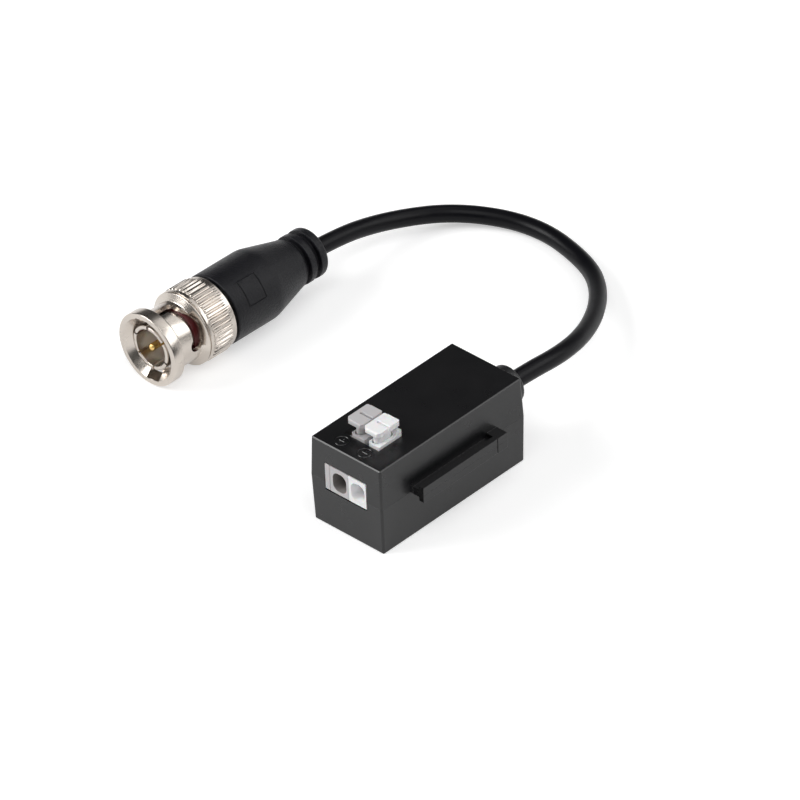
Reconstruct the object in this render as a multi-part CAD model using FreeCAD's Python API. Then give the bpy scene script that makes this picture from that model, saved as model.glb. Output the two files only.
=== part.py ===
"""A passive video balun: a housing with a two-pole push terminal, and a coax tail with a bayonet plug.

Millimetres. +Z is up, +Y runs from the wire ports to the cable end, +X points at the coupling rail.
The origin is the centre of the housing's underside. The plug lies on the same surface, on its nut.
"""
import FreeCAD, Part
import math
import os

# Housing
housing_width = 16.85
housing_length = 36.1
housing_height = 17.6
parting_height = 9.65
top_inset = 0.28
bottom_inset = 0.24
wall = 1.5
upright_edge_radius = 0.45
rim_chamfer = 0.22
tongue_height = 0.8
tongue_thickness = 0.6
tongue_clearance = 0.08

# Coupling rail on the right side and the matching groove on the left
rail_height = 3.1
rail_neck_height = 1.5
rail_reach = 2.5
rail_head_thickness = 1.1
rail_front = 7.8
rail_length = 18.7
rail_stop_length = 2.5
groove_clearance = 0.2
groove_skin = 0.6
stop_line = 0.16
stop_line_depth = 0.2

# Push terminal
window_width = 9.85
window_left = -4.95
window_bottom = 7.85
window_height = 5.65
terminal_recess = 0.05
terminal_bottom = 8.15
terminal_top = 13.4
terminal_depth = 12.6
terminal_shoulder = 1.85
terminal_headroom = 0.2
module_gap = 0.05
end_plate_left = -4.92
grey_left = -3.75
white_left = 0.65
white_right = 4.72
module_wall = 0.7
module_floor = 1.0
module_roof = 1.0
module_back_wall = 1.4
peg_size = 0.9
peg_inset = 2.0
peg_length = 0.8
peg_clearance = 0.06
port_width = 3.15
port_height = 3.75
port_corner = 1.3
port_centre_height = 10.7
port_throat_width = 2.3
port_throat_height = 2.7
port_throat_corner = 1.0
port_depth = 3.4
grey_port_x = -1.5
white_port_x = 2.8
ledge_front = 4.75
ledge_back = 10.4
ledge_proud = 0.5
ledge_corner = 0.45
grey_ledge = (-3.0, 0.3)
white_ledge = (0.95, 3.68)
top_window = (-4.45, 3.8)
top_window_front = 4.6
top_window_back = 10.6
wedge_rise = 0.9
wedge_length = 0.8
wedge_width = 1.1
ramp_length = 1.9

# Levers
grey_lever_x = -1.9
white_lever_x = 2.08
lever_width = 3.62
lever_length = 5.35
lever_front = 4.6
lever_top = 21.2
lever_thickness = 1.05
lever_step = 0.1
lever_nose_radius = 0.42
lever_front_corner = 0.5
lever_rear_corner = 0.2
lever_groove_back = 2.85
lever_groove_width = 0.4
lever_groove_depth = 0.5
lever_groove_start = 0.8
lever_pad_start = 0.7
lever_pad_radius = 0.3
stem_width = 1.65
stem_length = 3.7
stem_clearance = 0.1
stem_end_gap = 0.3
foot_width = 2.4
foot_length = 4.0
foot_thickness = 1.0
foot_chamfer = 0.25
eject_mark_diameter = 0.85
eject_mark_back = 0.95
eject_mark_depth = 0.06

# Clamp spring and contact
strip_thickness = 0.3
strip_width = 2.4
spring_front_bend = 0.5
spring_leg_y = 4.1
spring_leg_foot = 9.6
spring_window_width = 1.8
spring_window_height = 1.4
bar_thickness = 0.5
bar_width = 2.4
bar_tip_width = 1.6
bar_tip_y = 3.55
bar_underside = 11.3
bar_bend_y = 10.6
riser_width = 1.8
pin_width = 0.9
pin_reach = 1.2
seat_gap = 0.05

# Circuit board and what stands on it
board_underside = 4.0
board_thickness = 1.2
board_width = 12.6
board_front = 2.4
board_back = 32.6
board_pin_gap = 0.2
post_size = 2.2
post_pin_diameter = 1.2
post_pin_clearance = 0.1
post_pin_rise = 0.4
core_outer = 9.5
core_inner = 4.7
core_height = 4.0
core_x = 0.8
core_y = 21.5
winding_turns = 12
winding_wire = 0.44
winding_gap = 0.03
surge_tube_side = 3.4
surge_cap_step = 0.15
surge_tube_length = 4.2
surge_tube_x = 3.2
surge_tube_y = 28.6
surge_cap_length = 0.7
chip_length = 2.0
chip_width = 1.25
chip_height = 0.6
chip_rows = 3
chip_pitch = 2.4
chip_y = 14.6

# Cable gland and cord
cord_diameter = 3.1
bore_clearance = 0.1
gland_neck_diameter = 6.6
gland_flange_diameter = 9.0
gland_flange_thickness = 1.5
gland_root_diameter = 7.8
gland_end_diameter = 7.34
gland_reach = 5.4
gland_edge_radius = 0.6
cord_sides = 12
cord_inner_reach = 1.2
cord_exit_run = 12.2
core_lead = (0.35, 0.9, 3.2)
shield_lead = (-0.95, 0.7, 2.0)
lead_bend_radius = 1.0
# The free route of the cord from the gland to the boot, chosen along the photographed loop
cord_route = [
    (0.0, 38.2, 8.3),
    (-5.0, 50.1, 5.2),
    (-12.8, 60.7, 2.6),
    (-21.2, 66.7, 1.6),
    (-36.0, 69.6, 1.6),
    (-49.2, 63.2, 2.2),
    (-55.4, 50.2, 4.4),
]

# Bayonet plug, measured along its axis from the front of the slotted contact
plug_front_x = -57.36
plug_front_y = -7.59
plug_turn = 1.7
contact_outer_radius = 4.35
contact_inner_radius = 3.6
contact_slots = 6
contact_slot_width = 0.45
contact_slot_depth = 5.0
contact_slot_start = 37.5
nut_bore_radius = 4.9
running_clearance = 0.08
body_shoulder_start = 8.2
body_shoulder_length = 1.0
nut_web_start = 9.35
nut_web_length = 1.25
nut_rear = 14.6
nut_front_lip = 0.8
flange_radius = 7.15
flange_rear = 1.6
flange_fillet = 0.9
flange_mouth_radius = 6.1
flange_mouth_depth = 1.4
neck_radius = 5.8
shoulder_start = 6.9
shoulder_end = 7.75
shoulder_radius = 7.15
step_groove_start = 7.9
step_groove_width = 0.25
step_groove_depth = 0.25
knurl_start = 9.0
knurl_end = 13.5
knurl_radius = 7.25
knurl_depth = 0.28
knurl_gap = 0.12
knurl_count = 45
nut_rear_bore_radius = 6.2
bayonet_angle = 95.5
bayonet_width = 2.05
bayonet_turn = 92.0
bayonet_first_centre = 5.2
bayonet_crest_turn = 60.0
bayonet_crest_centre = 6.35
bayonet_seat_centre = 5.8
bayonet_seat_diameter = 2.6
bayonet_sections = 9
bayonet_mouth_angle = 99.5
bayonet_mouth_width = 3.15
bayonet_mouth_end = 1.2
gasket_length = 1.8
gasket_outer_radius = 4.82
washer_thickness = 0.3
washer_wave = 0.35
washer_waves = 3
washer_steps = 2
washer_inner_radius = 4.6
washer_outer_radius = 5.9
ring_groove_radius = 4.0
ring_thickness = 0.7
ring_outer_radius = 5.6
ring_opening = 50.0
collar_start = 12.9
collar_end = 17.2
collar_radius = 5.5
crimp_stem_radius = 1.7
crimp_stem_end = 29.0
insulator_start = 5.3
insulator_end = 14.5
pin_radius = 0.68
pin_tip_length = 0.6
pin_end = 16.0
pin_tail_radius = 1.0
core_stub_radius = 1.2
ferrule_start = 17.4
ferrule_end = 32.5
ferrule_outer_radius = 2.3
cord_plug_end = 30.0
cord_plug_run = 14.0
boot_front = 15.2
boot_radius = 6.95
boot_straight_end = 25.8
boot_taper_end = 33.9
boot_tail_radius = 4.8
boot_end = 39.7
boot_end_radius = 0.8
boot_front_chamfer = 0.25
boot_shoulder_radius = 6.0
boot_ring_starts = (34.2, 36.7)
boot_ring_width = 1.15
boot_ring_depth = 1.0
boot_frame_start = 18.2
boot_frame_end = 22.4
boot_frame_angles = (19.0, 61.0)
boot_frame_line = 0.16
boot_frame_depth = 0.12

cord_radius = cord_diameter / 2
half_width = housing_width / 2
half_length = housing_length / 2
board_top = board_underside + board_thickness
bar_top = bar_underside + bar_thickness
stem_centre = lever_front + lever_length / 2 + 0.07
roof_underside = housing_height - wall
terminal_body_top = roof_underside - terminal_headroom
ledge_top = housing_height + ledge_proud
cavity_top = terminal_body_top - module_roof
head_underside = lever_top - lever_thickness
foot_top = cavity_top - seat_gap * 2
spring_top = foot_top - foot_thickness - seat_gap
gland_end_y = half_length + gland_reach
beyond = 2 * housing_length


def point(x, y, z):
    """A vector."""
    return FreeCAD.Vector(x, y, z)


def from_front(distance):
    """The Y coordinate that lies this far behind the housing's front face."""
    return distance - half_length


def block(x, y, z):
    """A box from its low and high limits along each axis."""
    return Part.makeBox(x[1] - x[0], y[1] - y[0], z[1] - z[0], point(x[0], y[0], z[0]))


def rod(start, end, radius):
    """A cylinder between two points."""
    return Part.makeCylinder(radius, (end - start).Length, start, end - start)


def tapered_block(low, high):
    """A block with flat leaning sides between two level rectangles, each given as (half_x, half_y, z)."""
    wedge = Part.makeWedge(
        -low[0], low[2], -low[1], -high[1], -high[0], low[0], high[2], low[1], high[1], high[0]
    )
    wedge.rotate(point(0, 0, 0), point(1, 0, 0), 90)
    return wedge


def rounded_rectangle(x, y, z, width, height, radius):
    """A wire in an XZ plane, centred on (x, z), with round corners."""
    reach_x = width / 2 - radius
    reach_z = height / 2 - radius
    edges = []
    for start, sx, sz in ((0, 1, 1), (90, -1, 1), (180, -1, -1), (270, 1, -1)):
        centre = point(x + sx * reach_x, y, z + sz * reach_z)
        spots = []
        for turn in (0, 45, 90):
            angle = math.radians(start + turn)
            spots.append(centre + point(radius * math.cos(angle), 0, radius * math.sin(angle)))
        if edges:
            edges.append(Part.makeLine(edges[-1].lastVertex().Point, spots[0]))
        edges.append(Part.Arc(*spots).toShape())
    edges.append(Part.makeLine(edges[-1].lastVertex().Point, edges[0].firstVertex().Point))
    return Part.Wire(edges)


def racetrack(x, y, length, width, z):
    """An upright solid with half-round ends along Y; z is its low and high limit."""
    reach = (length - width) / 2
    middle = block((x - width / 2, x + width / 2), (y - reach, y + reach), z)
    ends = [Part.makeCylinder(width / 2, z[1] - z[0], point(x, y + side * reach, z[0])) for side in (-1, 1)]
    return middle.multiFuse(ends).removeSplitter()


def side_profile(outline, x):
    """A closed outline of (y from the front, z) points, extruded over a span of X."""
    corners = [point(x[0], from_front(y), z) for y, z in outline]
    face = Part.Face(Part.makePolygon(corners + corners[:1]))
    return face.extrude(point(x[1] - x[0], 0, 0))


def turned(outline):
    """A solid of revolution about the plug's axis from (station, radius) points."""
    corners = [point(radius, station, 0) for station, radius in outline]
    face = Part.Face(Part.makePolygon(corners + corners[:1]))
    return face.revolve(point(0, 0, 0), point(0, 1, 0), 360)


def ring(start, end, inner, outer):
    """A plain turned ring."""
    return turned([(start, inner), (end, inner), (end, outer), (start, outer)])


def round_edges(shape, radius, chosen):
    """The shape with a fillet on each edge for which chosen(edge) holds."""
    return shape.makeFillet(radius, [edge for edge in shape.Edges if chosen(edge)])


def bevel_edges(shape, size, chosen):
    """The shape with a chamfer on each edge for which chosen(edge) holds."""
    return shape.makeChamfer(size, [edge for edge in shape.Edges if chosen(edge)])


def is_upright(edge):
    """True for a straight edge that runs mostly along Z."""
    ends = [vertex.Point for vertex in edge.Vertexes]
    return len(ends) == 2 and abs(ends[0].z - ends[1].z) > 0.9 * (ends[0] - ends[1]).Length


def eased(centre, radius, start, end, cones=2):
    """Points of a turned outline on an arc about (station, radius): a rounding made of short cones."""
    angles = [math.radians(start + (end - start) * index / cones) for index in range(cones + 1)]
    return [(centre[0] + radius * math.cos(angle), centre[1] + radius * math.sin(angle)) for angle in angles]


def on_plug(shape):
    """Moves a piece from the plug's own frame to where the plug lies."""
    placed = shape.copy()
    placed.rotate(point(0, 0, 0), point(0, 0, 1), -plug_turn)
    placed.translate(point(plug_front_x, plug_front_y, knurl_radius))
    return placed


def plug_axis_point(station):
    """A point on the plug's axis in the part's frame."""
    angle = math.radians(plug_turn)
    front = point(plug_front_x, plug_front_y, knurl_radius)
    return front + point(math.sin(angle), math.cos(angle), 0) * station


# The housing's two shells

def rail_section(reach_from, reach_to, height, y):
    """A bar along the right side, between two distances from the wall."""
    level = parting_height
    return block(
        (half_width + reach_from, half_width + reach_to), y, (level - height / 2, level + height / 2)
    )


def coupling_rail():
    """The T rail with its solid stop at the rear."""
    y = (from_front(rail_front), from_front(rail_front + rail_length))
    stop = (y[1], y[1] + rail_stop_length)
    neck = rail_section(-wall / 2, rail_reach, rail_neck_height, y)
    head = rail_section(rail_reach - rail_head_thickness, rail_reach, rail_height, y)
    block_at_rear = rail_section(-wall / 2, rail_reach, rail_height, stop)
    rail = neck.multiFuse([head, block_at_rear]).removeSplitter()
    line = block(
        (half_width + rail_reach - stop_line_depth, half_width + rail_reach + 1),
        (y[1] - stop_line / 2, y[1] + stop_line / 2),
        (parting_height - rail_height, parting_height + rail_height),
    )
    return rail.cut(line)


def groove_depth():
    """How deep the groove goes, so that a neighbour's rail fits it."""
    return rail_reach + groove_clearance


def groove_boss():
    """The thickening inside the left wall that holds the groove."""
    inner = -half_width + groove_depth() + groove_skin
    reach = rail_height / 2 + groove_clearance + groove_skin + 0.3
    return block(
        (-half_width + wall / 2, inner),
        (from_front(rail_front - groove_clearance - 1.0), half_length - wall / 2),
        (parting_height - reach, parting_height + reach),
    )


def rail_groove():
    """The T slot in the left side, which opens to the rear as a plain channel."""
    level = parting_height
    front = from_front(rail_front - groove_clearance)
    lips_end = from_front(rail_front + rail_length - groove_clearance)
    lip = rail_reach - rail_head_thickness - groove_clearance
    slot = rail_neck_height / 2 + groove_clearance
    head = rail_height / 2 + groove_clearance
    bottom = -half_width + groove_depth()
    outside = -half_width - 1
    neck = block((outside, bottom), (front, lips_end), (level - slot, level + slot))
    pocket = block((-half_width + lip, bottom), (front, lips_end + 1), (level - head, level + head))
    channel = block((outside, bottom), (lips_end, half_length + 1), (level - head, level + head))
    return neck.multiFuse([pocket, channel])


def front_window():
    """The cutter for the terminal's window in the front wall."""
    return block(
        (window_left, window_left + window_width),
        (-half_length - 1, -half_length + wall + 0.2),
        (window_bottom, window_bottom + window_height),
    )


def gland_hole():
    """The cutter for the gland's neck in the back wall."""
    radius = gland_neck_diameter / 2 + bore_clearance
    inside = point(0, half_length - 2 * wall, parting_height)
    return rod(inside, inside + point(0, 3 * wall, 0), radius)


def wall_ring(outer_inset, inner_inset, z):
    """A rectangular ring that follows the walls between two insets from the parting outline."""
    outer = block(
        (-half_width + outer_inset, half_width - outer_inset),
        (-half_length + outer_inset, half_length - outer_inset),
        z,
    )
    inner = block(
        (-half_width + inner_inset, half_width - inner_inset),
        (-half_length + inner_inset, half_length - inner_inset),
        z,
    )
    return outer.cut(inner)


def board_posts():
    """Four corner posts for the board; the two on the left have a locating pin."""
    solids = []
    for x, y in post_places():
        half = post_size / 2
        solids.append(block((x - half, x + half), (y - half, y + half), (wall - 0.2, board_underside)))
        if x < 0:
            top = point(x, y, board_top + post_pin_rise)
            solids.append(rod(point(x, y, board_underside - 0.5), top, post_pin_diameter / 2))
    return solids


def post_places():
    """The centres of the four board posts."""
    x = board_width / 2 - post_size / 2
    back = from_front(board_back) - post_size / 2
    front = from_front(terminal_depth) + post_size
    return [(side * x, y) for side in (-1, 1) for y in (front, back)]


def rim_planes(inset, level, inward):
    """A block whose sloping sides chamfer the outer rim at this level; inward is 1 if the shell is above."""
    near = (half_width - inset - rim_chamfer, half_length - inset - rim_chamfer, level)
    far = (near[0] + beyond, near[1] + beyond, level + inward * beyond)
    return tapered_block(near, far) if inward > 0 else tapered_block(far, near)


def make_lower_shell():
    """The tray below the parting line."""
    outer = tapered_block(
        (half_width - bottom_inset, half_length - bottom_inset, 0),
        (half_width, half_length, parting_height),
    )
    outer = round_edges(outer, upright_edge_radius, is_upright)
    outer = outer.common(rim_planes(bottom_inset, 0, 1))
    cavity = tapered_block(
        (half_width - bottom_inset - wall, half_length - bottom_inset - wall, wall),
        (half_width - wall, half_length - wall, parting_height),
    )
    rebate_depth = tongue_height + tongue_clearance
    rebate = wall_ring(
        wall - tongue_thickness - tongue_clearance,
        wall + 0.5,
        (parting_height - rebate_depth, parting_height + 1),
    )
    below = block((-beyond, beyond), (-beyond, beyond), (-1, parting_height))
    additions = [coupling_rail().common(below), groove_boss().common(below)] + board_posts()
    shell = outer.cut(cavity).cut(rebate).multiFuse(additions)
    return shell.cut(rail_groove()).cut(front_window()).cut(gland_hole()).removeSplitter()


def make_upper_shell():
    """The lid above the parting line, with the lever window."""
    outer = tapered_block(
        (half_width, half_length, parting_height),
        (half_width - top_inset, half_length - top_inset, housing_height),
    )
    outer = round_edges(outer, upright_edge_radius, is_upright)
    outer = outer.common(rim_planes(top_inset, housing_height, -1))
    cavity = tapered_block(
        (half_width - wall, half_length - wall, parting_height),
        (half_width - top_inset - wall, half_length - top_inset - wall, roof_underside),
    )
    tongue = wall_ring(wall - tongue_thickness, wall, (parting_height - tongue_height, parting_height + 0.3))
    boss = groove_boss()
    keep_clear = block(
        (boss.BoundBox.XMin - 1, boss.BoundBox.XMax + tongue_clearance),
        (boss.BoundBox.YMin - tongue_clearance, half_length),
        (0, parting_height),
    )
    above = block((-beyond, beyond), (-beyond, beyond), (parting_height, beyond))
    hold_downs = []
    half = post_size / 2
    for x, y in post_places():
        if x > 0:
            z = (board_top + tongue_clearance, roof_underside + 0.3)
            hold_downs.append(block((x - half, x + half), (y - half, y + half), z))
    additions = [tongue.cut(keep_clear), coupling_rail().common(above), boss.common(above)] + hold_downs
    shell = outer.cut(cavity).multiFuse(additions)
    lever_window = block(
        top_window,
        (from_front(top_window_front), from_front(top_window_back)),
        (roof_underside - 1, housing_height + 1),
    )
    for cutter in (rail_groove(), front_window(), gland_hole(), lever_window):
        shell = shell.cut(cutter)
    return shell.removeSplitter()


# The push terminal

def module_blank(x):
    """The outside of a terminal module or of its end plate, without the ledge."""
    nose = block(
        x, (from_front(terminal_recess), from_front(terminal_shoulder + 0.3)), (terminal_bottom, terminal_top)
    )
    body_y = (from_front(terminal_shoulder), from_front(terminal_depth))
    return nose.fuse(block(x, body_y, (board_top, terminal_body_top)))


def peg_places():
    """The (y, z) centres of the pegs that join the modules."""
    y = from_front(terminal_depth) - module_back_wall / 2
    return [(y, board_top + peg_inset), (y, terminal_body_top - peg_inset)]


def pegs(x_face, clearance):
    """Square pegs, or with a clearance their holes, that reach to the right from the face at x_face."""
    half = peg_size / 2 + clearance
    x = (x_face - 0.3, x_face + peg_length + clearance)
    return [block(x, (y - half, y + half), (z - half, z + half)) for y, z in peg_places()]


def ledge_block(ledge):
    """The part of a module that stands in the lid's window, with the ramp behind the lever's stem."""
    y = (from_front(ledge_front), from_front(ledge_back))
    plate = block(ledge, y, (terminal_body_top - 0.5, ledge_top))

    def is_front_left(edge):
        return edge.BoundBox.YMax < y[0] + 0.01 and edge.BoundBox.XMax < ledge[0] + 0.01

    plate = bevel_edges(plate, ledge_corner, is_front_left)
    top = ledge_top + wedge_rise
    back = ledge_back
    wedge = side_profile(
        [
            (back - ramp_length, ledge_top - 0.2),
            (back, ledge_top - 0.2),
            (back, top - 0.1),
            (back - 0.1, top),
            (back - wedge_length, top),
            (back - wedge_length - 0.25, ledge_top + 0.45 * wedge_rise),
            (back - wedge_length - 0.5, ledge_top + 0.15 * wedge_rise),
            (back - ramp_length, ledge_top),
        ],
        (max(ledge) - wedge_width, max(ledge)),
    )
    return plate.fuse(wedge)


def make_module(x, port_x, lever_x, ledge, has_pegs):
    """One terminal module, open on its left side, with its funnel and its lever slot."""
    cavity_back = from_front(terminal_depth) - module_back_wall
    cavity = block(
        (x[0] - 1, x[1] - module_wall),
        (from_front(terminal_recess + port_depth), cavity_back),
        (board_top + module_floor, cavity_top),
    )
    mouth = rounded_rectangle(
        port_x, from_front(terminal_recess), port_centre_height, port_width, port_height, port_corner
    )
    throat = rounded_rectangle(
        port_x,
        from_front(terminal_recess + port_depth + 0.1),
        port_centre_height,
        port_throat_width,
        port_throat_height,
        port_throat_corner,
    )
    funnel = Part.makeLoft([mouth, throat], True, True)
    slot = racetrack(
        lever_x,
        from_front(stem_centre),
        stem_length + 2 * stem_end_gap,
        stem_width + 2 * stem_clearance,
        (cavity_top - 1, ledge_top + 1),
    )
    pin_half = pin_width / 2 + stem_clearance
    bar_back = from_front(bar_bend_y)
    pin_slot = block(
        (contact_centre(x) - pin_half, contact_centre(x) + pin_half),
        (bar_back - stem_clearance, bar_back + bar_thickness + stem_clearance),
        (board_top - 1, board_top + module_floor + 1),
    )
    module = module_blank(x).fuse(ledge_block(ledge))
    for cutter in [cavity, funnel, slot, pin_slot] + pegs(x[0], peg_clearance):
        module = module.cut(cutter)
    if has_pegs:
        module = module.multiFuse(pegs(x[1], 0))
    return module.removeSplitter()


def contact_centre(x):
    """The middle of a module's cavity, where the contact and the spring stand."""
    return (x[0] + x[1] - module_wall) / 2


def make_end_plate():
    """The plate that closes the first module's open side, with two pegs."""
    x = (end_plate_left, grey_left - module_gap)
    return module_blank(x).multiFuse(pegs(x[1], 0)).removeSplitter()


def is_front_top(edge, y, z):
    """True for the edge along X where a block's front face at y meets its top face at z."""
    return edge.BoundBox.YMax < y + 0.01 and edge.BoundBox.ZMin > z - 0.01


def lever_head(x):
    """The thumb plate: a round nose, a finger groove that runs out on the right, and a raised pad."""
    half = lever_width / 2
    left = x - half
    right = x + half
    front = from_front(lever_front)
    back = front + lever_length
    plate_top = lever_top - lever_step
    plate = block((left, right), (front, back), (head_underside, plate_top))
    plate = round_edges(plate, lever_nose_radius, lambda edge: is_front_top(edge, front, plate_top))
    groove_back = front + lever_groove_back
    groove = block(
        (left + lever_groove_start, right + 1),
        (groove_back - lever_groove_width, groove_back),
        (plate_top - lever_groove_depth, plate_top + 1),
    )
    pad_left = left + lever_pad_start
    pad_foot = plate_top - lever_groove_depth
    pad = block((pad_left, right), (groove_back, back), (pad_foot, lever_top))
    pad = round_edges(pad, lever_pad_radius, lambda edge: is_front_top(edge, groove_back, lever_top))
    corners = [
        point(pad_left, groove_back, pad_foot),
        point(right, groove_back, pad_foot),
        point(right, groove_back, lever_top),
        point(pad_left + 2 * lever_step, groove_back, lever_top),
        point(pad_left, groove_back, plate_top),
    ]
    sloped = Part.Face(Part.makePolygon(corners + corners[:1])).extrude(point(0, back - groove_back, 0))
    head = plate.cut(groove).fuse(pad.common(sloped))
    for corner_x, corner_y, size in (
        (left, front, lever_front_corner),
        (right, front, lever_front_corner),
        (left, back, lever_rear_corner),
        (right, back, lever_rear_corner),
    ):
        head = head.cut(corner_cutter(corner_x, corner_y, size))
    return head


def corner_cutter(x, y, size):
    """A square upright post on edge, which takes a chamfer of this size off a lever head's corner."""
    side = size * math.sqrt(2)
    cutter = block((-side / 2, side / 2), (-side / 2, side / 2), (head_underside - 1, lever_top + 1))
    cutter.rotate(point(0, 0, 0), point(0, 0, 1), 45)
    cutter.translate(point(x, y, 0))
    return cutter


def make_lever(x, has_eject_mark):
    """A T-shaped push lever: the thumb plate, a stem and the foot that opens the clamp."""
    head = lever_head(x)
    if has_eject_mark:
        right = x + lever_width / 2
        mark_y = from_front(lever_front + eject_mark_back)
        mark = point(right - eject_mark_depth, mark_y, (head_underside + lever_top - lever_step) / 2)
        head = head.cut(rod(mark, mark + point(1, 0, 0), eject_mark_diameter / 2))
    stem_y = from_front(stem_centre)
    stem = racetrack(x, stem_y, stem_length, stem_width, (foot_top - 0.3, head_underside + 0.3))
    foot = block(
        (x - foot_width / 2, x + foot_width / 2),
        (stem_y - foot_length / 2, stem_y + foot_length / 2),
        (foot_top - foot_thickness, foot_top),
    )
    foot = bevel_edges(foot, foot_chamfer, lambda edge: edge.BoundBox.ZMax < foot_top - foot_thickness + 0.01)
    return head.multiFuse([stem, foot]).removeSplitter()


def bent_strip(path, thickness, x):
    """A strip that follows a path of lines and arcs in a YZ plane, over a span of X."""
    wire = Part.Wire(path)
    start = path[0]
    tangent = start.tangentAt(start.FirstParameter)
    normal = tangent.cross(point(1, 0, 0))
    origin = start.valueAt(start.FirstParameter)
    corners = [
        origin + normal * (side * thickness / 2) + point(edge_x - origin.x, 0, 0)
        for side, edge_x in ((-1, x[0]), (1, x[0]), (1, x[1]), (-1, x[1]))
    ]
    section = Part.makePolygon(corners + corners[:1])
    return wire.makePipeShell([section], True, False)


def arc_edge(centre, radius, start, end):
    """An arc in a YZ plane; angles in degrees from +Y towards +Z."""
    spots = []
    for angle in (start, (start + end) / 2, end):
        turn = math.radians(angle)
        spots.append(centre + point(0, radius * math.cos(turn), radius * math.sin(turn)))
    return Part.Arc(*spots).toShape()


def make_clamp_spring(x_centre):
    """A cage clamp: a leg on the contact bar, a bow, an upper arm and a leg with a window for the bar."""
    half = strip_thickness / 2
    low = bar_top + seat_gap / 2 + half
    bow = (spring_top - half - low) / 2
    bow_centre = point(x_centre, from_front(bar_bend_y) - seat_gap - half - bow, low + bow)
    high = low + 2 * bow
    bend_centre = point(x_centre, from_front(spring_leg_y) + spring_front_bend, high - spring_front_bend)
    leg_y = from_front(spring_leg_y)
    path = [
        Part.makeLine(point(x_centre, leg_y + 1.4, low), point(x_centre, bow_centre.y, low)),
        arc_edge(bow_centre, bow, -90, 90),
        Part.makeLine(point(x_centre, bow_centre.y, high), point(x_centre, bend_centre.y, high)),
        arc_edge(bend_centre, spring_front_bend, 90, 180),
        Part.makeLine(point(x_centre, leg_y, bend_centre.z), point(x_centre, leg_y, spring_leg_foot)),
    ]
    strip = bent_strip(path, strip_thickness, (x_centre - strip_width / 2, x_centre + strip_width / 2))
    window_low = bar_underside - seat_gap
    window = block(
        (x_centre - spring_window_width / 2, x_centre + spring_window_width / 2),
        (leg_y - 1, leg_y + half + 0.05),
        (window_low, window_low + spring_window_height),
    )
    return strip.cut(window)


def make_contact(x_centre):
    """The contact bar with its riser and its solder pin through the board."""
    bend = from_front(bar_bend_y)
    bar = block(
        (x_centre - bar_width / 2, x_centre + bar_width / 2),
        (from_front(spring_leg_y) + strip_thickness, bend + bar_thickness),
        (bar_underside, bar_top),
    )
    tip = block(
        (x_centre - bar_tip_width / 2, x_centre + bar_tip_width / 2),
        (from_front(bar_tip_y), bend),
        (bar_underside, bar_top),
    )
    riser_foot = board_top + module_floor + seat_gap
    riser = block(
        (x_centre - riser_width / 2, x_centre + riser_width / 2),
        (bend, bend + bar_thickness),
        (riser_foot, bar_top),
    )
    pin = block(
        (x_centre - pin_width / 2, x_centre + pin_width / 2),
        (bend, bend + bar_thickness),
        (board_underside - pin_reach, riser_foot + 0.2),
    )
    contact = bar.multiFuse([tip, riser, pin]).removeSplitter()
    outer_corner = bend + bar_thickness
    return round_edges(
        contact,
        bar_thickness * 0.8,
        lambda edge: edge.BoundBox.YMin > outer_corner - 0.01
        and edge.BoundBox.ZMin > bar_top - 0.01
        and edge.BoundBox.XLength > 1,
    )


# The board and its parts

def make_circuit_board():
    """The board, with holes for the two locating pins and slots for the two solder pins."""
    half = board_width / 2
    y = (from_front(board_front), from_front(board_back))
    board = block((-half, half), y, (board_underside, board_top))
    radius = post_pin_diameter / 2 + post_pin_clearance
    cutters = []
    for x, post_y in post_places():
        if x < 0:
            below = point(x, post_y, board_underside - 1)
            cutters.append(rod(below, point(x, post_y, board_top + 1), radius))
    pin_front = from_front(bar_bend_y)
    half_slot = pin_width / 2 + board_pin_gap
    for x in contact_places():
        cutters.append(
            block(
                (x - half_slot, x + half_slot),
                (pin_front - board_pin_gap, pin_front + bar_thickness + board_pin_gap),
                (board_underside - 1, board_top + 1),
            )
        )
    for cutter in cutters:
        board = board.cut(cutter)
    return board


def contact_places():
    """The X of the two contacts."""
    return [contact_centre((grey_left, white_left - module_gap)), contact_centre((white_left, white_right))]


def core_base():
    """The height of the transformer core's underside, on its winding."""
    return board_top + winding_wire + 2 * winding_gap


def make_transformer_core():
    """The ferrite ring."""
    centre = point(core_x, from_front(core_y), core_base())
    outer = Part.makeCylinder(core_outer / 2, core_height, centre)
    return outer.cut(Part.makeCylinder(core_inner / 2, core_height, centre))


def make_winding():
    """The turns round the core, each a closed square loop of wire."""
    half = winding_wire / 2
    inner = core_inner / 2 - winding_gap
    outer = core_outer / 2 + winding_gap
    low = core_base() - winding_gap
    high = core_base() + core_height + winding_gap
    turns = []
    for index in range(winding_turns):
        around = block(
            (inner - winding_wire, outer + winding_wire),
            (-half, half),
            (low - winding_wire, high + winding_wire),
        )
        turn = around.cut(block((inner, outer), (-half, half), (low, high)))
        turn.rotate(point(0, 0, 0), point(0, 0, 1), (index + 0.5) * 360 / winding_turns)
        turn.translate(point(core_x, from_front(core_y), 0))
        turns.append(turn)
    return Part.makeCompound(turns)


def make_surge_tube():
    """The square surge tube that lies across the board, with its two end caps."""
    left = surge_tube_x - surge_tube_length / 2
    right = left + surge_tube_length
    middle = from_front(surge_tube_y)

    def span(x, inset):
        reach = surge_tube_side / 2 - inset
        height = board_top + surge_tube_side / 2
        return block(x, (middle - reach, middle + reach), (height - reach, height + reach))

    caps = [span((left, left + surge_cap_length), 0), span((right - surge_cap_length, right), 0)]
    return span((left, right), surge_cap_step).multiFuse(caps).removeSplitter()


def make_chips():
    """The row of small surface parts between the terminal and the transformer."""
    first = -(chip_rows - 1) / 2
    chips = []
    for index in range(chip_rows):
        x = core_x + (first + index) * chip_pitch
        y = from_front(chip_y)
        chips.append(
            block(
                (x - chip_width / 2, x + chip_width / 2),
                (y - chip_length / 2, y + chip_length / 2),
                (board_top, board_top + chip_height),
            )
        )
    return Part.makeCompound(chips)


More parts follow.
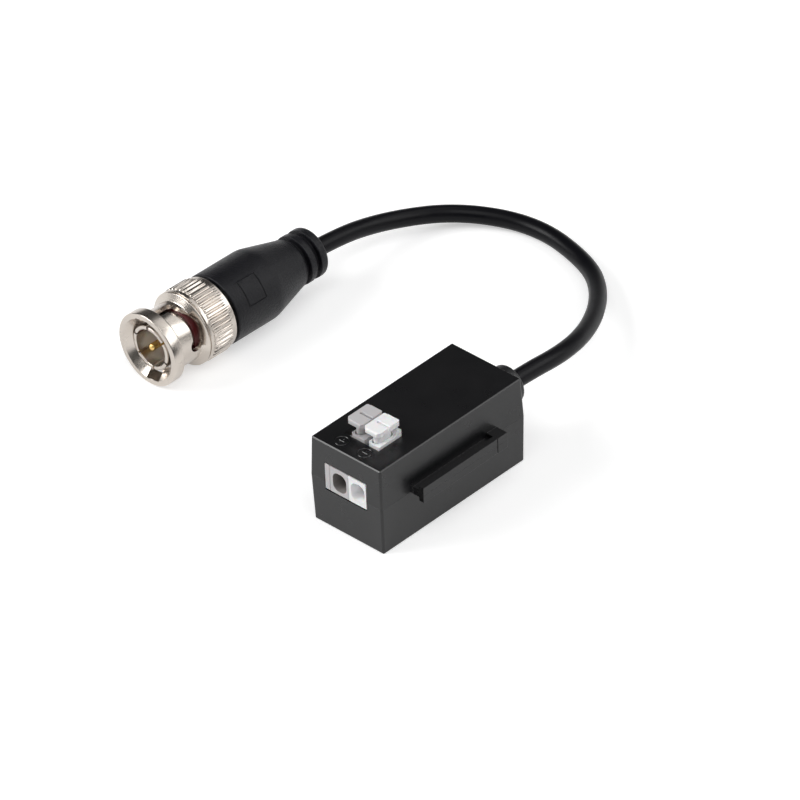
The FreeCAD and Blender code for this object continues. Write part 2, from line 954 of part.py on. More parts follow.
# The gland, the cord and the leads

def gland_flange_face():
    """The flange's rear face, clear of the back wall, whose inside leans towards it above and below."""
    lean = bottom_inset / (parting_height - wall) * gland_flange_diameter / 2
    return half_length - wall - lean - bore_clearance


def make_cable_gland():
    """The moulded bush in the back wall, with the round boss that the cord leaves."""
    back = half_length
    flange_face = gland_flange_face()
    edge_centre = (gland_end_y - gland_edge_radius, gland_end_diameter / 2 - gland_edge_radius)
    outline = [
        (flange_face - gland_flange_thickness, cord_radius + bore_clearance),
        (gland_end_y, cord_radius + bore_clearance),
        *eased(edge_centre, gland_edge_radius, 0, 90),
        (back + bore_clearance, gland_root_diameter / 2),
        (back + bore_clearance, gland_neck_diameter / 2),
        (flange_face, gland_neck_diameter / 2),
        (flange_face, gland_flange_diameter / 2),
        (flange_face - gland_flange_thickness, gland_flange_diameter / 2),
    ]
    gland = turned(outline)
    gland.translate(point(0, 0, parting_height))
    return gland


def cord_points():
    """The whole route, from inside the housing to inside the plug."""
    start_y = gland_flange_face() - gland_flange_thickness - cord_inner_reach
    start = point(0, start_y, parting_height)
    exit_point = start + point(0, cord_exit_run, 0)
    tail = plug_axis_point(cord_plug_end)
    entry = plug_axis_point(cord_plug_end + cord_plug_run)
    return [start, exit_point] + [point(*spot) for spot in cord_route] + [entry, tail]


def rounded_path(points):
    """Straight runs joined by tangent arcs, each as large as its two runs allow."""
    edges = []
    radii = []
    last = points[0]
    for before, corner, after in zip(points, points[1:], points[2:]):
        into = (corner - before).normalize()
        out = (after - corner).normalize()
        shorter = min((corner - before).Length, (after - corner).Length)
        half_turn = into.getAngle(out) / 2
        tangent = 0.45 * shorter
        radius = tangent / math.tan(half_turn)
        radii.append(radius)
        start = corner - into * tangent
        end = corner + out * tangent
        inward = (out - into).normalize()
        middle = corner + inward * (radius / math.cos(half_turn) - radius)
        edges.append(Part.LineSegment(last, start).toShape())
        edges.append(Part.Arc(start, middle, end).toShape())
        last = end
    edges.append(Part.LineSegment(last, points[-1]).toShape())
    return edges, radii


def tube_along(edges, radius):
    """A solid swept along tangent lines and arcs; its section has flat sides and a circle's area."""
    turn = 2 * math.pi / cord_sides
    reach = radius * math.sqrt(turn / math.sin(turn))
    first = edges[0]
    origin = first.valueAt(first.FirstParameter)
    circle = Part.makeCircle(reach, origin, first.tangentAt(first.FirstParameter))
    corners = [circle.valueAt(index * turn) for index in range(cord_sides)]
    section = Part.Face(Part.makePolygon(corners + corners[:1]))
    spans = []
    for edge in edges:
        start = edge.valueAt(edge.FirstParameter)
        end = edge.valueAt(edge.LastParameter)
        if isinstance(edge.Curve, Part.Circle):
            centre = edge.Curve.Center
            axis = (start - centre).cross(end - centre)
            angle = math.degrees((start - centre).getAngle(end - centre))
            spans.append(section.revolve(centre, axis, angle))
            section = section.copy()
            section.rotate(centre, axis, angle)
        else:
            spans.append(section.extrude(end - start))
            section = section.copy()
            section.translate(end - start)
    return spans[0].multiFuse(spans[1:])


def make_cord():
    """The coax cord, from inside the gland to the crimp in the plug."""
    edges, radii = rounded_path(cord_points())
    length = sum(edge.Length for edge in edges)
    tube = tube_along(edges, cord_radius)
    section = math.pi * cord_radius**2
    print("cord radii", [round(radius, 1) for radius in radii])
    print("cord length", round(length, 1), "volume ratio", round(tube.Volume / (section * length), 4))
    return tube


def make_lead(lead):
    """A stripped lead that leaves the cord's end and bends down to the board."""
    x, side, run = lead
    start = cord_points()[0]
    corner_y = start.y - run
    bend_centre = point(x, corner_y + lead_bend_radius, start.z - lead_bend_radius)
    path = [
        Part.makeLine(point(x, start.y, start.z), point(x, bend_centre.y, start.z)),
        arc_edge(bend_centre, lead_bend_radius, 90, 180),
        Part.makeLine(point(x, corner_y, bend_centre.z), point(x, corner_y, board_top)),
    ]
    return bent_strip(path, side, (x - side / 2, x + side / 2))


# The bayonet plug, in its own frame: the axis is +Y and the mating end is at the origin

def axial_slots(angles, width, radii, stations):
    """Radial blocks along the axis, one at each angle."""
    cutters = []
    for angle in angles:
        cutter = block((radii[0], radii[1]), stations, (-width / 2, width / 2))
        cutter.rotate(point(0, 0, 0), point(0, 1, 0), -angle)
        cutters.append(cutter)
    return cutters


def axial_wedge(angles, stations, reach):
    """A wedge from the axis outwards, between two angles and between two stations."""
    start, end = stations
    corners = [point(0, start, 0)]
    for angle in angles:
        turn = math.radians(angle)
        corners.append(point(reach * math.cos(turn), start, reach * math.sin(turn)))
    return Part.Face(Part.makePolygon(corners + corners[:1])).extrude(point(0, end - start, 0))


def make_plug_body():
    """The turned body: slotted contact sleeve, shoulder, snap ring groove, collar and crimp stem."""
    shaft = nut_bore_radius - 0.45 - running_clearance
    groove = ring_start()
    outline = [
        (0, contact_inner_radius),
        (insulator_end, contact_inner_radius),
        (insulator_end, pin_tail_radius + 0.3),
        (crimp_stem_end, pin_tail_radius + 0.3),
        (crimp_stem_end, crimp_stem_radius),
        (collar_end, crimp_stem_radius),
        (collar_end, collar_radius),
        (collar_start, collar_radius),
        (collar_start, shaft),
        (groove + ring_thickness + 0.05, shaft),
        (groove + ring_thickness + 0.05, ring_groove_radius),
        (groove - 0.05, ring_groove_radius),
        (groove - 0.05, shaft),
        (body_shoulder_start + body_shoulder_length, shaft),
        (body_shoulder_start + body_shoulder_length, gasket_outer_radius),
        (body_shoulder_start, gasket_outer_radius),
        (body_shoulder_start, contact_outer_radius),
        (0.25, contact_outer_radius),
        (0, contact_outer_radius - 0.15),
    ]
    body = turned(outline)
    angles = [contact_slot_start + index * 360 / contact_slots for index in range(contact_slots)]
    radii = (contact_inner_radius - 0.5, contact_outer_radius + 0.5)
    for cutter in axial_slots(angles, contact_slot_width, radii, (-1, contact_slot_depth)):
        body = body.cut(cutter)
    return body


def ring_start():
    """The station of the snap ring, behind the wave washer."""
    return nut_web_start + nut_web_length + washer_thickness + washer_wave + 0.15


def knurled_band():
    """The band of straight ridges: one outline of flat-topped teeth, run along the axis."""
    root = knurl_radius - knurl_depth
    pitch = 360 / knurl_count
    corners = []
    for index in range(knurl_count):
        for share, radius in ((0.0, root), (0.2, root), (0.36, knurl_radius), (0.84, knurl_radius)):
            angle = math.radians((index + share) * pitch)
            corners.append(point(radius * math.cos(angle), knurl_start, radius * math.sin(angle)))
    face = Part.Face(Part.makePolygon(corners + corners[:1]))
    length = knurl_end - knurl_start
    inside = Part.makeCylinder(root - knurl_depth, length, point(0, knurl_start, 0), point(0, 1, 0))
    return face.extrude(point(0, length, 0)).cut(inside)


def track_centre(turn):
    """The station of the track's middle: it climbs in a smooth S to a crest, then falls back to the seat."""
    if turn < bayonet_crest_turn:
        share = turn / bayonet_crest_turn
        low = bayonet_first_centre
    else:
        share = (bayonet_turn - turn) / (bayonet_turn - bayonet_crest_turn)
        low = bayonet_seat_centre
    return low + (bayonet_crest_centre - low) * (0.5 - 0.5 * math.cos(math.pi * share))


def bayonet_track(half_turn):
    """The cutter for one bayonet track: a wide mouth, an axial lead-in, a curved track and a round seat."""
    inner = nut_bore_radius - 0.6
    outer = knurl_radius + 0.05
    lead_in_radius = neck_radius + 0.25
    start_angle = bayonet_angle + half_turn
    sections = []
    for index in range(bayonet_sections):
        turn = bayonet_turn * index / (bayonet_sections - 1)
        angle = math.radians(start_angle - turn)
        front = track_centre(turn) - bayonet_width / 2
        back = front + bayonet_width
        corners = [
            point(radius * math.cos(angle), station, radius * math.sin(angle))
            for radius, station in ((inner, front), (outer, front), (outer, back), (inner, back))
        ]
        sections.append(Part.makePolygon(corners + corners[:1]))
    cutters = [Part.makeLoft(sections, True, True)]
    front = -nut_front_lip - 1
    for angle, width, back in (
        (start_angle, bayonet_width, bayonet_first_centre),
        (bayonet_mouth_angle + half_turn, bayonet_mouth_width, bayonet_mouth_end),
    ):
        cutters += axial_slots([angle], width, (inner, lead_in_radius), (front, back))
    for turn, station, diameter in (
        (0, bayonet_first_centre, bayonet_width),
        (bayonet_turn, bayonet_seat_centre, bayonet_seat_diameter),
    ):
        angle = math.radians(start_angle - turn)
        direction = point(math.cos(angle), 0, math.sin(angle))
        base = direction * inner + point(0, station, 0)
        cutters.append(Part.makeCylinder(diameter / 2, outer - inner, base, direction))
    return cutters


def make_coupling_nut():
    """The bayonet nut: flared front flange, neck with two tracks, shoulder and knurled grip."""
    front = -nut_front_lip
    web_end = nut_web_start + nut_web_length
    grip_root = knurl_radius - knurl_depth - 0.02
    groove_end = step_groove_start + step_groove_width
    groove_floor = shoulder_radius - step_groove_depth
    outline = [
        (front, flange_mouth_radius),
        (front + flange_mouth_depth, nut_bore_radius),
        (nut_web_start, nut_bore_radius),
        (nut_web_start, nut_bore_radius - 0.45),
        (web_end, nut_bore_radius - 0.45),
        (web_end, nut_rear_bore_radius),
        (nut_rear, nut_rear_bore_radius),
        (nut_rear, grip_root - 0.15),
        (nut_rear - 0.2, grip_root),
        (knurl_start - knurl_gap, grip_root),
        (knurl_start - knurl_gap, shoulder_radius),
        (groove_end, shoulder_radius),
        (groove_end, groove_floor),
        (step_groove_start, groove_floor),
        (step_groove_start, shoulder_radius),
        (shoulder_end, shoulder_radius),
        (shoulder_start, neck_radius),
        *eased((flange_rear + flange_fillet, neck_radius + flange_fillet), flange_fillet, 270, 180),
        (flange_rear, flange_radius),
        (front + 0.2, flange_radius),
        (front, flange_radius - 0.15),
    ]
    nut = turned(outline).fuse(knurled_band())
    for half_turn in (0, 180):
        for cutter in bayonet_track(half_turn):
            nut = nut.cut(cutter)
    return nut


def make_gasket():
    """The rubber ring that seats on the body's shoulder."""
    start = body_shoulder_start - gasket_length
    return ring(start, body_shoulder_start, contact_outer_radius + 0.03, gasket_outer_radius)


def make_wave_washer():
    """The spring washer that pushes the nut back: a flat ring bent into even waves."""
    start = nut_web_start + nut_web_length + 0.05
    sections = []
    steps = washer_waves * 2 * washer_steps
    for index in range(steps + 1):
        angle = 2 * math.pi * index / steps
        lift = start + washer_wave * (0.5 - 0.5 * math.cos(washer_waves * angle))
        corners = [
            point(radius * math.cos(angle), station, radius * math.sin(angle))
            for radius, station in (
                (washer_inner_radius, lift),
                (washer_outer_radius, lift),
                (washer_outer_radius, lift + washer_thickness),
                (washer_inner_radius, lift + washer_thickness),
            )
        ]
        sections.append(Part.makePolygon(corners + corners[:1]))
    half = steps // 2
    first = Part.makeLoft(sections[: half + 1], True, True)
    second = Part.makeLoft(sections[half:], True, True)
    return first.fuse(second)


def make_snap_ring():
    """The open ring in the body's groove that keeps the washer and the nut on."""
    start = ring_start()
    closed = ring(start, start + ring_thickness, ring_groove_radius + 0.02, ring_outer_radius)
    opening = (90 - ring_opening / 2, 90 + ring_opening / 2)
    return closed.cut(axial_wedge(opening, (start - 1, start + ring_thickness + 1), 1.5 * ring_outer_radius))


def make_insulator():
    """The sleeve that centres the pin in the body."""
    return ring(insulator_start, insulator_end, pin_radius + 0.02, contact_inner_radius - 0.02)


def make_centre_pin():
    """The gilt pin with its rounded tip and its thicker crimp tail."""
    return turned([
        (0, 0),
        (pin_end, 0),
        (pin_end, pin_tail_radius),
        (insulator_end + 0.05, pin_tail_radius),
        (insulator_end + 0.05, pin_radius),
        (pin_tip_length, pin_radius),
        (pin_tip_length * 0.3, pin_radius * 0.75),
        (0, pin_radius * 0.3),
    ])


def make_core_stub():
    """The cord's inner conductor, in its insulation, from the pin to the cord's end."""
    return Part.makeCylinder(
        core_stub_radius, cord_plug_end - pin_end, point(0, pin_end, 0), point(0, 1, 0)
    )


def make_crimp_ferrule():
    """The sleeve crimped over the stem and the cord's end."""
    inner = cord_radius + bore_clearance
    outline = [
        (ferrule_start, crimp_stem_radius + 0.02),
        (crimp_stem_end, crimp_stem_radius + 0.02),
        (crimp_stem_end, inner),
        (ferrule_end, inner),
        (ferrule_end, ferrule_outer_radius),
        (ferrule_start, ferrule_outer_radius),
    ]
    return turned(outline)


def boot_outline():
    """The boot's outline: bore, grip cylinder, taper and ringed tail, as (station, radius) points."""
    bore = cord_radius + bore_clearance
    over_ferrule = ferrule_outer_radius + 0.02
    over_collar = collar_radius + 0.02
    taper_length = boot_taper_end - boot_straight_end
    slope = math.atan((boot_radius - boot_tail_radius) / taper_length)
    blend = boot_shoulder_radius * math.tan(slope / 2)
    outline = [
        (boot_end, bore),
        (ferrule_end + 0.05, bore),
        (ferrule_end + 0.05, over_ferrule),
        (collar_end + 0.02, over_ferrule),
        (collar_end + 0.02, over_collar),
        (boot_front, over_collar),
        (boot_front, boot_radius - boot_front_chamfer),
        (boot_front + boot_front_chamfer, boot_radius),
        (boot_straight_end - blend, boot_radius),
        (boot_straight_end + blend * math.cos(slope), boot_radius - blend * math.sin(slope)),
        (boot_taper_end, boot_tail_radius),
    ]
    for start in boot_ring_starts:
        outline += [
            (start, boot_tail_radius),
            (start, boot_tail_radius - boot_ring_depth),
            (start + boot_ring_width, boot_tail_radius - boot_ring_depth),
            (start + boot_ring_width, boot_tail_radius),
        ]
    return outline + eased(
        (boot_end - boot_end_radius, boot_tail_radius - boot_end_radius), boot_end_radius, 90, 0
    )


def make_plug_boot():
    """The moulded boot over the crimp, with two ring grooves and a plain frame line on its side."""
    return turned(boot_outline()).cut(boot_frame())


def boot_frame():
    """The cutter for the rectangular frame line on the boot's side."""
    floor_radius = boot_radius - boot_frame_depth
    line_angle = math.degrees(boot_frame_line / boot_radius)
    reach = 1.5 * boot_radius
    outer = axial_wedge(boot_frame_angles, (boot_frame_start, boot_frame_end), reach)
    inner_angles = (boot_frame_angles[0] + line_angle, boot_frame_angles[1] - line_angle)
    inner_stations = (boot_frame_start + boot_frame_line, boot_frame_end - boot_frame_line)
    inner = axial_wedge(inner_angles, inner_stations, reach)
    core = Part.makeCylinder(floor_radius, boot_frame_end, point(0, 0, 0), point(0, 1, 0))
    return outer.cut(inner).cut(core)


def all_pieces():
    """Every node's name and shape."""
    grey_span = (grey_left, white_left - module_gap)
    white_span = (white_left, white_right)
    grey_contact_x, white_contact_x = contact_places()
    return {
        "lower_shell": make_lower_shell(),
        "upper_shell": make_upper_shell(),
        "terminal_end_plate": make_end_plate(),
        "grey_module": make_module(grey_span, grey_port_x, grey_lever_x, grey_ledge, True),
        "white_module": make_module(white_span, white_port_x, white_lever_x, white_ledge, False),
        "grey_lever": make_lever(grey_lever_x, False),
        "white_lever": make_lever(white_lever_x, True),
        "grey_clamp_spring": make_clamp_spring(grey_contact_x),
        "white_clamp_spring": make_clamp_spring(white_contact_x),
        "grey_contact": make_contact(grey_contact_x),
        "white_contact": make_contact(white_contact_x),
        "circuit_board": make_circuit_board(),
        "transformer_core": make_transformer_core(),
        "transformer_winding": make_winding(),
        "surge_tube": make_surge_tube(),
        "chip_parts": make_chips(),
        "cable_gland": make_cable_gland(),
        "coax_core_lead": make_lead(core_lead),
        "coax_shield_lead": make_lead(shield_lead),
        "coax_cord": make_cord(),
        "plug_boot": on_plug(make_plug_boot()),
        "crimp_ferrule": on_plug(make_crimp_ferrule()),
        "plug_body": on_plug(make_plug_body()),
        "plug_insulator": on_plug(make_insulator()),
        "centre_pin": on_plug(make_centre_pin()),
        "plug_core_stub": on_plug(make_core_stub()),
        "coupling_nut": on_plug(make_coupling_nut()),
        "plug_gasket": on_plug(make_gasket()),
        "wave_washer": on_plug(make_wave_washer()),
        "snap_ring": on_plug(make_snap_ring()),
    }


os.makedirs("parts", exist_ok=True)
for node, shape in all_pieces().items():
    shape.exportStep(f"parts/{node}.step")
    print(node, "solids", len(shape.Solids), "valid", shape.isValid(), "volume", round(shape.Volume, 2))
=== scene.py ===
"""Dresses the video balun in its photographed finishes, in a plain pale studio.

The classes hold their sizes in millimetres, in the part's own frame: +Z up, +Y to the cable end,
+X to the coupling rail. MM turns a size into metres where a mesh is made.
"""
from __future__ import annotations

import logging
import math
from dataclasses import dataclass, field
from enum import Enum
from typing import Callable, Sequence

import bmesh
import bpy
import numpy as np
from mathutils import Matrix


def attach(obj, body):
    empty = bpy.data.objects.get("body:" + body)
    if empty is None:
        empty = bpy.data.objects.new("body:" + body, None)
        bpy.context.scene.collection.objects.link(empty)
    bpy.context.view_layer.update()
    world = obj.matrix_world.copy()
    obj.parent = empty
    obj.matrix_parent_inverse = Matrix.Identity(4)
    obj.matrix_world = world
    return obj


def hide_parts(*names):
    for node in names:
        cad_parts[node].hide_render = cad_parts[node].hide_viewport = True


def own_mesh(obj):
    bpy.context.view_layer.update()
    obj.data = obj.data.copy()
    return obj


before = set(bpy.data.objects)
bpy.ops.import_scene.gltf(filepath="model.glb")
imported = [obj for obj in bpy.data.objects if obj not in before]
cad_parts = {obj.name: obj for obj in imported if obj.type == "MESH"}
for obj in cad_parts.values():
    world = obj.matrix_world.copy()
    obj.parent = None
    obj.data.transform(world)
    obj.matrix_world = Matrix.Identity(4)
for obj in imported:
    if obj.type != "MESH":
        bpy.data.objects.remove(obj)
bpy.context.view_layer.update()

LOG = logging.getLogger("balun")
MM = 0.001
PLUG_TURN = math.radians(1.7)
PLUG_FRONT = (-57.36, -7.59, 7.25)
CORD_LEVEL = 9.65
MERGE_REACH = 1e-3
SUBSURFACE_REACH = 0.6
FINE_GRAIN_SCALE = 2.7
FINE_GRAIN_SHARE = 0.5
MOTTLE_BAND = (0.3, 0.7)

Corner = tuple[float, float, float]
Skin = tuple[np.ndarray, list[list[int]]]


class Body(Enum):
    """The body that a piece rides on."""

    MAIN = "housing"
    GREY_LEVER = "grey_lever"
    WHITE_LEVER = "white_lever"
    NUT = "coupling_nut"


# Frames and surfaces


@dataclass(frozen=True)
class Axis:
    """A turning axis: an origin in millimetres, the axis itself, and the two directions across it."""

    origin: tuple[float, float, float]
    along: tuple[float, float, float]
    right: tuple[float, float, float]
    up: tuple[float, float, float]

    def place(self, station: np.ndarray, radius: np.ndarray, angle: np.ndarray) -> np.ndarray:
        """Turns cylinder coordinates into points.

        The point is origin + along * station + radius * (right * cos(angle) + up * sin(angle)).

        Args:
            station: Distances along the axis, in millimetres.
            radius: Distances from it.
            angle: Angles from right towards up, in radians.

        Returns:
            The points, in millimetres, with x, y and z last.
        """
        station, radius, angle = np.broadcast_arrays(station, radius, angle)
        across = np.cos(angle)[..., None] * np.array(self.right)
        across = across + np.sin(angle)[..., None] * np.array(self.up)
        return np.array(self.origin) + station[..., None] * np.array(self.along) + radius[..., None] * across


PLUG_AXIS = Axis(
    PLUG_FRONT,
    (math.sin(PLUG_TURN), math.cos(PLUG_TURN), 0.0),
    (math.cos(PLUG_TURN), -math.sin(PLUG_TURN), 0.0),
    (0.0, 0.0, 1.0),
)
GLAND_AXIS = Axis((0.0, 0.0, CORD_LEVEL), (0.0, 1.0, 0.0), (1.0, 0.0, 0.0), (0.0, 0.0, 1.0))


def facing(azimuth: float, elevation: float) -> tuple[np.ndarray, np.ndarray, np.ndarray]:
    """The right, up and back directions of a camera or lamp at those angles, in radians.

    back, which points away from the object, is (cos(e) * sin(a), -cos(e) * cos(a), sin(e)).
    """
    level = math.cos(elevation)
    back = np.array([level * math.sin(azimuth), -level * math.cos(azimuth), math.sin(elevation)])
    right = np.array([math.cos(azimuth), math.sin(azimuth), 0.0])
    return right, np.cross(back, right), back


def placement(right: np.ndarray, up: np.ndarray, back: np.ndarray, place: np.ndarray) -> Matrix:
    """The matrix of a camera or lamp, from its three axes and its place in metres."""
    columns = np.column_stack([right, up, back, place])
    return Matrix(np.vstack([columns, [0.0, 0.0, 0.0, 1.0]]).tolist())


def grid_faces(rows: int, columns: int, loop_rows: bool, loop_columns: bool) -> np.ndarray:
    """The quads of a grid of points.

    Args:
        rows: Points down the grid.
        columns: Points across it.
        loop_rows: Whether the last row joins the first.
        loop_columns: Whether the last column joins the first.

    Returns:
        Four point numbers for each quad.
    """
    row = np.arange(rows if loop_rows else rows - 1)[:, None]
    column = np.arange(columns if loop_columns else columns - 1)[None, :]
    next_row = (row + 1) % rows
    next_column = (column + 1) % columns
    corners = [row * columns + column, row * columns + next_column]
    corners += [next_row * columns + next_column, next_row * columns + column]
    return np.stack([corner.ravel() for corner in corners], axis=1)


def mesh_object(
    name: str, points: np.ndarray, faces: Sequence[Sequence[int]], crease: float = 35.0
) -> bpy.types.Object:
    """Makes an object of points in millimetres, closed at its poles and with its faces outwards.

    Args:
        name: The object's name.
        points: One row of x, y and z for each point.
        faces: Point numbers for each face.
        crease: The angle in degrees above which an edge stays sharp.

    Returns:
        The new object.
    """
    mesh = bpy.data.meshes.new(name)
    rows = faces.tolist() if isinstance(faces, np.ndarray) else faces
    mesh.from_pydata((np.asarray(points).reshape(-1, 3) * MM).tolist(), [], rows)
    work = bmesh.new()
    work.from_mesh(mesh)
    bmesh.ops.remove_doubles(work, verts=work.verts, dist=MERGE_REACH * MM)
    bmesh.ops.recalc_face_normals(work, faces=work.faces)
    work.to_mesh(mesh)
    work.free()
    return link_smooth(name, mesh, crease)


def link_smooth(name: str, mesh: bpy.types.Mesh, crease: float) -> bpy.types.Object:
    """Links a mesh as an object, smooth but for its creases."""
    mesh.shade_smooth()
    mesh.set_sharp_from_angle(angle=math.radians(crease))
    piece = bpy.data.objects.new(name, mesh)
    bpy.context.scene.collection.objects.link(piece)
    return piece


def filleted(corners: Sequence[Corner], closed: bool = True, steps: int = 6) -> np.ndarray:
    """An outline whose corners are rounded.

    Each corner with a radius becomes an arc that touches both its sides: its centre lies on the corner's
    bisector, at radius / sin(half angle) from the corner.

    Args:
        corners: Station, radius and rounding for each corner.
        closed: Whether the last corner joins the first.
        steps: Points on each arc.

    Returns:
        One row of station and radius for each point.
    """
    spots = np.array([corner[:2] for corner in corners], float)
    outline: list[np.ndarray] = []
    for index, (_, _, rounding) in enumerate(corners):
        spot = spots[index]
        is_end = not closed and index in (0, len(corners) - 1)
        if rounding <= 0 or is_end:
            outline.append(spot[None, :])
            continue
        back = spots[index - 1] - spot
        ahead = spots[(index + 1) % len(corners)] - spot
        back /= np.linalg.norm(back)
        ahead /= np.linalg.norm(ahead)
        half = math.acos(float(np.clip(back @ ahead, -1, 1))) / 2
        bisector = (back + ahead) / np.linalg.norm(back + ahead)
        centre = spot + bisector * rounding / math.sin(half)
        start = spot + back * rounding / math.tan(half) - centre
        end = spot + ahead * rounding / math.tan(half) - centre
        share = np.linspace(0, 1, steps)[:, None]
        sweep = math.pi - 2 * half
        arc = (np.sin((1 - share) * sweep) * start + np.sin(share * sweep) * end) / math.sin(sweep)
        outline.append(centre + arc)
    return np.vstack(outline)


def lathe(
    name: str,
    axis: Axis,
    outline: np.ndarray,
    columns: int = 96,
    closed: bool = True,
    relief: Callable[[np.ndarray, np.ndarray, np.ndarray], np.ndarray] | None = None,
    angles: np.ndarray | None = None,
    crease: float = 35.0,
) -> bpy.types.Object:
    """Turns an outline about an axis.

    The surface is place(station(i), radius(i) + relief(station, radius, angle), angle(j)).

    Args:
        name: The object's name.
        axis: What it turns about.
        outline: Station and radius for each row.
        columns: How many even angles to use when none are given.
        closed: Whether the outline is a loop.
        relief: What to add to the radius, if anything.
        angles: The angles themselves, in radians, where they aren't even.
        crease: The angle in degrees above which an edge stays sharp.

    Returns:
        The new object.
    """
    turn = np.linspace(0, 2 * math.pi, columns, endpoint=False) if angles is None else angles
    station = outline[:, 0][:, None]
    radius = outline[:, 1][:, None] + np.zeros_like(turn)[None, :]
    if relief is not None:
        radius = radius + relief(station + 0 * radius, radius, turn[None, :] + 0 * radius)
    points = axis.place(station, radius, turn[None, :])
    faces = grid_faces(len(outline), len(turn), closed, True)
    return mesh_object(name, points, faces, crease)


def loft(sections: np.ndarray) -> Skin:
    """A closed skin over a row of like sections, with its two ends capped.

    Args:
        sections: Points in millimetres, by section, by place in the section, with x, y and z last.

    Returns:
        The points and the faces.
    """
    rows, columns = sections.shape[:2]
    faces = grid_faces(rows, columns, False, True).tolist()
    faces.append(list(range(columns)))
    faces.append(list(range((rows - 1) * columns, rows * columns))[::-1])
    return sections.reshape(-1, 3), faces


def joined(parts: Sequence[Skin]) -> Skin:
    """Several skins as one set of points and faces."""
    points = np.vstack([part[0] for part in parts])
    starts = np.cumsum([0] + [len(part[0]) for part in parts[:-1]])
    faces = [[int(start) + spot for spot in face] for start, part in zip(starts, parts) for face in part[1]]
    return points, faces


def absorb(piece: bpy.types.Object, other: bpy.types.Object, crease: float) -> None:
    """Adds another object's mesh to a piece and removes the other object."""
    work = bmesh.new()
    work.from_mesh(piece.data)
    work.from_mesh(other.data)
    work.to_mesh(piece.data)
    work.free()
    bpy.data.objects.remove(other)
    piece.data.shade_smooth()
    piece.data.set_sharp_from_angle(angle=math.radians(crease))


def carve(piece: bpy.types.Object, cutters: Sequence[bpy.types.Object], crease: float) -> None:
    """Cuts solids out of a piece and removes them.

    Args:
        piece: What is cut.
        cutters: The solids, which are deleted afterwards.
        crease: The angle in degrees above which an edge stays sharp.
    """
    for cutter in cutters:
        change = piece.modifiers.new("cut", "BOOLEAN")
        change.operation = "DIFFERENCE"
        change.solver = "EXACT"
        change.object = cutter
        bpy.context.view_layer.update()
        scene_graph = bpy.context.evaluated_depsgraph_get()
        result = bpy.data.meshes.new_from_object(piece.evaluated_get(scene_graph))
        piece.modifiers.clear()
        piece.data = result
        bpy.data.objects.remove(cutter)
    piece.data.shade_smooth()
    piece.data.set_sharp_from_angle(angle=math.radians(crease))


def packed_copy(node: str) -> bpy.types.Mesh:
    """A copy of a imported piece's mesh without its packed normals, which would hide its creases."""
    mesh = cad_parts[node].data.copy()
    if "custom_normal" in mesh.attributes:
        mesh.attributes.remove(mesh.attributes["custom_normal"])
    return mesh


def softened_copy(node: str, width: float, crease: float = 30.0, segments: int = 2) -> bpy.types.Object:
    """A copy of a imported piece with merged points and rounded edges.

    Args:
        node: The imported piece's name.
        width: The rounding's width in millimetres.
        crease: The angle in degrees above which an edge is rounded.
        segments: Steps across the rounding.

    Returns:
        The new object, named after the node.
    """
    mesh = packed_copy(node)
    work = bmesh.new()
    work.from_mesh(mesh)
    bmesh.ops.remove_doubles(work, verts=work.verts, dist=2 * MERGE_REACH * MM)
    flat = math.radians(0.5)
    bmesh.ops.dissolve_limit(work, angle_limit=flat, verts=work.verts, edges=work.edges)
    work.to_mesh(mesh)
    work.free()
    mesh.materials.clear()
    piece = link_smooth(f"{node}_skin", mesh, crease)
    rounding = piece.modifiers.new("rounded edges", "BEVEL")
    rounding.width = width * MM
    rounding.segments = segments
    rounding.limit_method = "ANGLE"
    rounding.angle_limit = math.radians(crease)
    rounding.miter_outer = "MITER_ARC"
    return piece


def weigh_normals(piece: bpy.types.Object) -> None:
    """Lets the large faces set the shading, so that only the rounded edges turn the light."""
    weighing = piece.modifiers.new("weighted normals", "WEIGHTED_NORMAL")
    weighing.keep_sharp = True


def settle(
    piece: bpy.types.Object, nodes: Sequence[str], body: Body, finish: bpy.types.Material
) -> None:
    """Gives a piece its finish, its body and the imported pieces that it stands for."""
    piece.data.materials.clear()
    piece.data.materials.append(finish)
    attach(piece, body.value)
    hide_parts(*nodes)
    LOG.info("%s: %d faces", piece.name, len(getattr(piece.data, "polygons", ())))


# Shared effects


class Effect(Enum):
    """The node groups that several finishes use."""

    GRAIN = "moulded grain"
    MOTTLE = "roughness mottle"
    LATHE = "turning lines"


def new_group(
    name: str, inputs: Sequence[tuple[str, float]], output: str, kind: str
) -> bpy.types.NodeTree:
    """An empty node group with named number inputs and one output."""
    group = bpy.data.node_groups.new(name, "ShaderNodeTree")
    for label, value in inputs:
        socket = group.interface.new_socket(label, in_out="INPUT", socket_type="NodeSocketFloat")
        socket.default_value = value
    group.interface.new_socket(output, in_out="OUTPUT", socket_type=kind)
    return group


def add_node(
    tree: bpy.types.NodeTree, kind: str, values: dict[int | str, object] | None = None, **settings: object
) -> bpy.types.Node:
    """Adds a shader node.

    Args:
        tree: Where it goes.
        kind: Its type.
        values: Values for its inputs, by number or name.
        settings: Its own settings, such as its operation, which are made first.

    Returns:
        The new node.
    """
    node = tree.nodes.new(kind)
    for label, setting in settings.items():
        setattr(node, label, setting)
    for label, value in (values or {}).items():
        node.inputs[label].default_value = value
    return node


def wire(
    tree: bpy.types.NodeTree, *joins: tuple[bpy.types.Node, int | str, bpy.types.Node, int | str]
) -> None:
    """Links nodes. Each join is a node, its output, another node and its input."""
    for source, output, sink, entry in joins:
        tree.links.new(source.outputs[output], sink.inputs[entry])


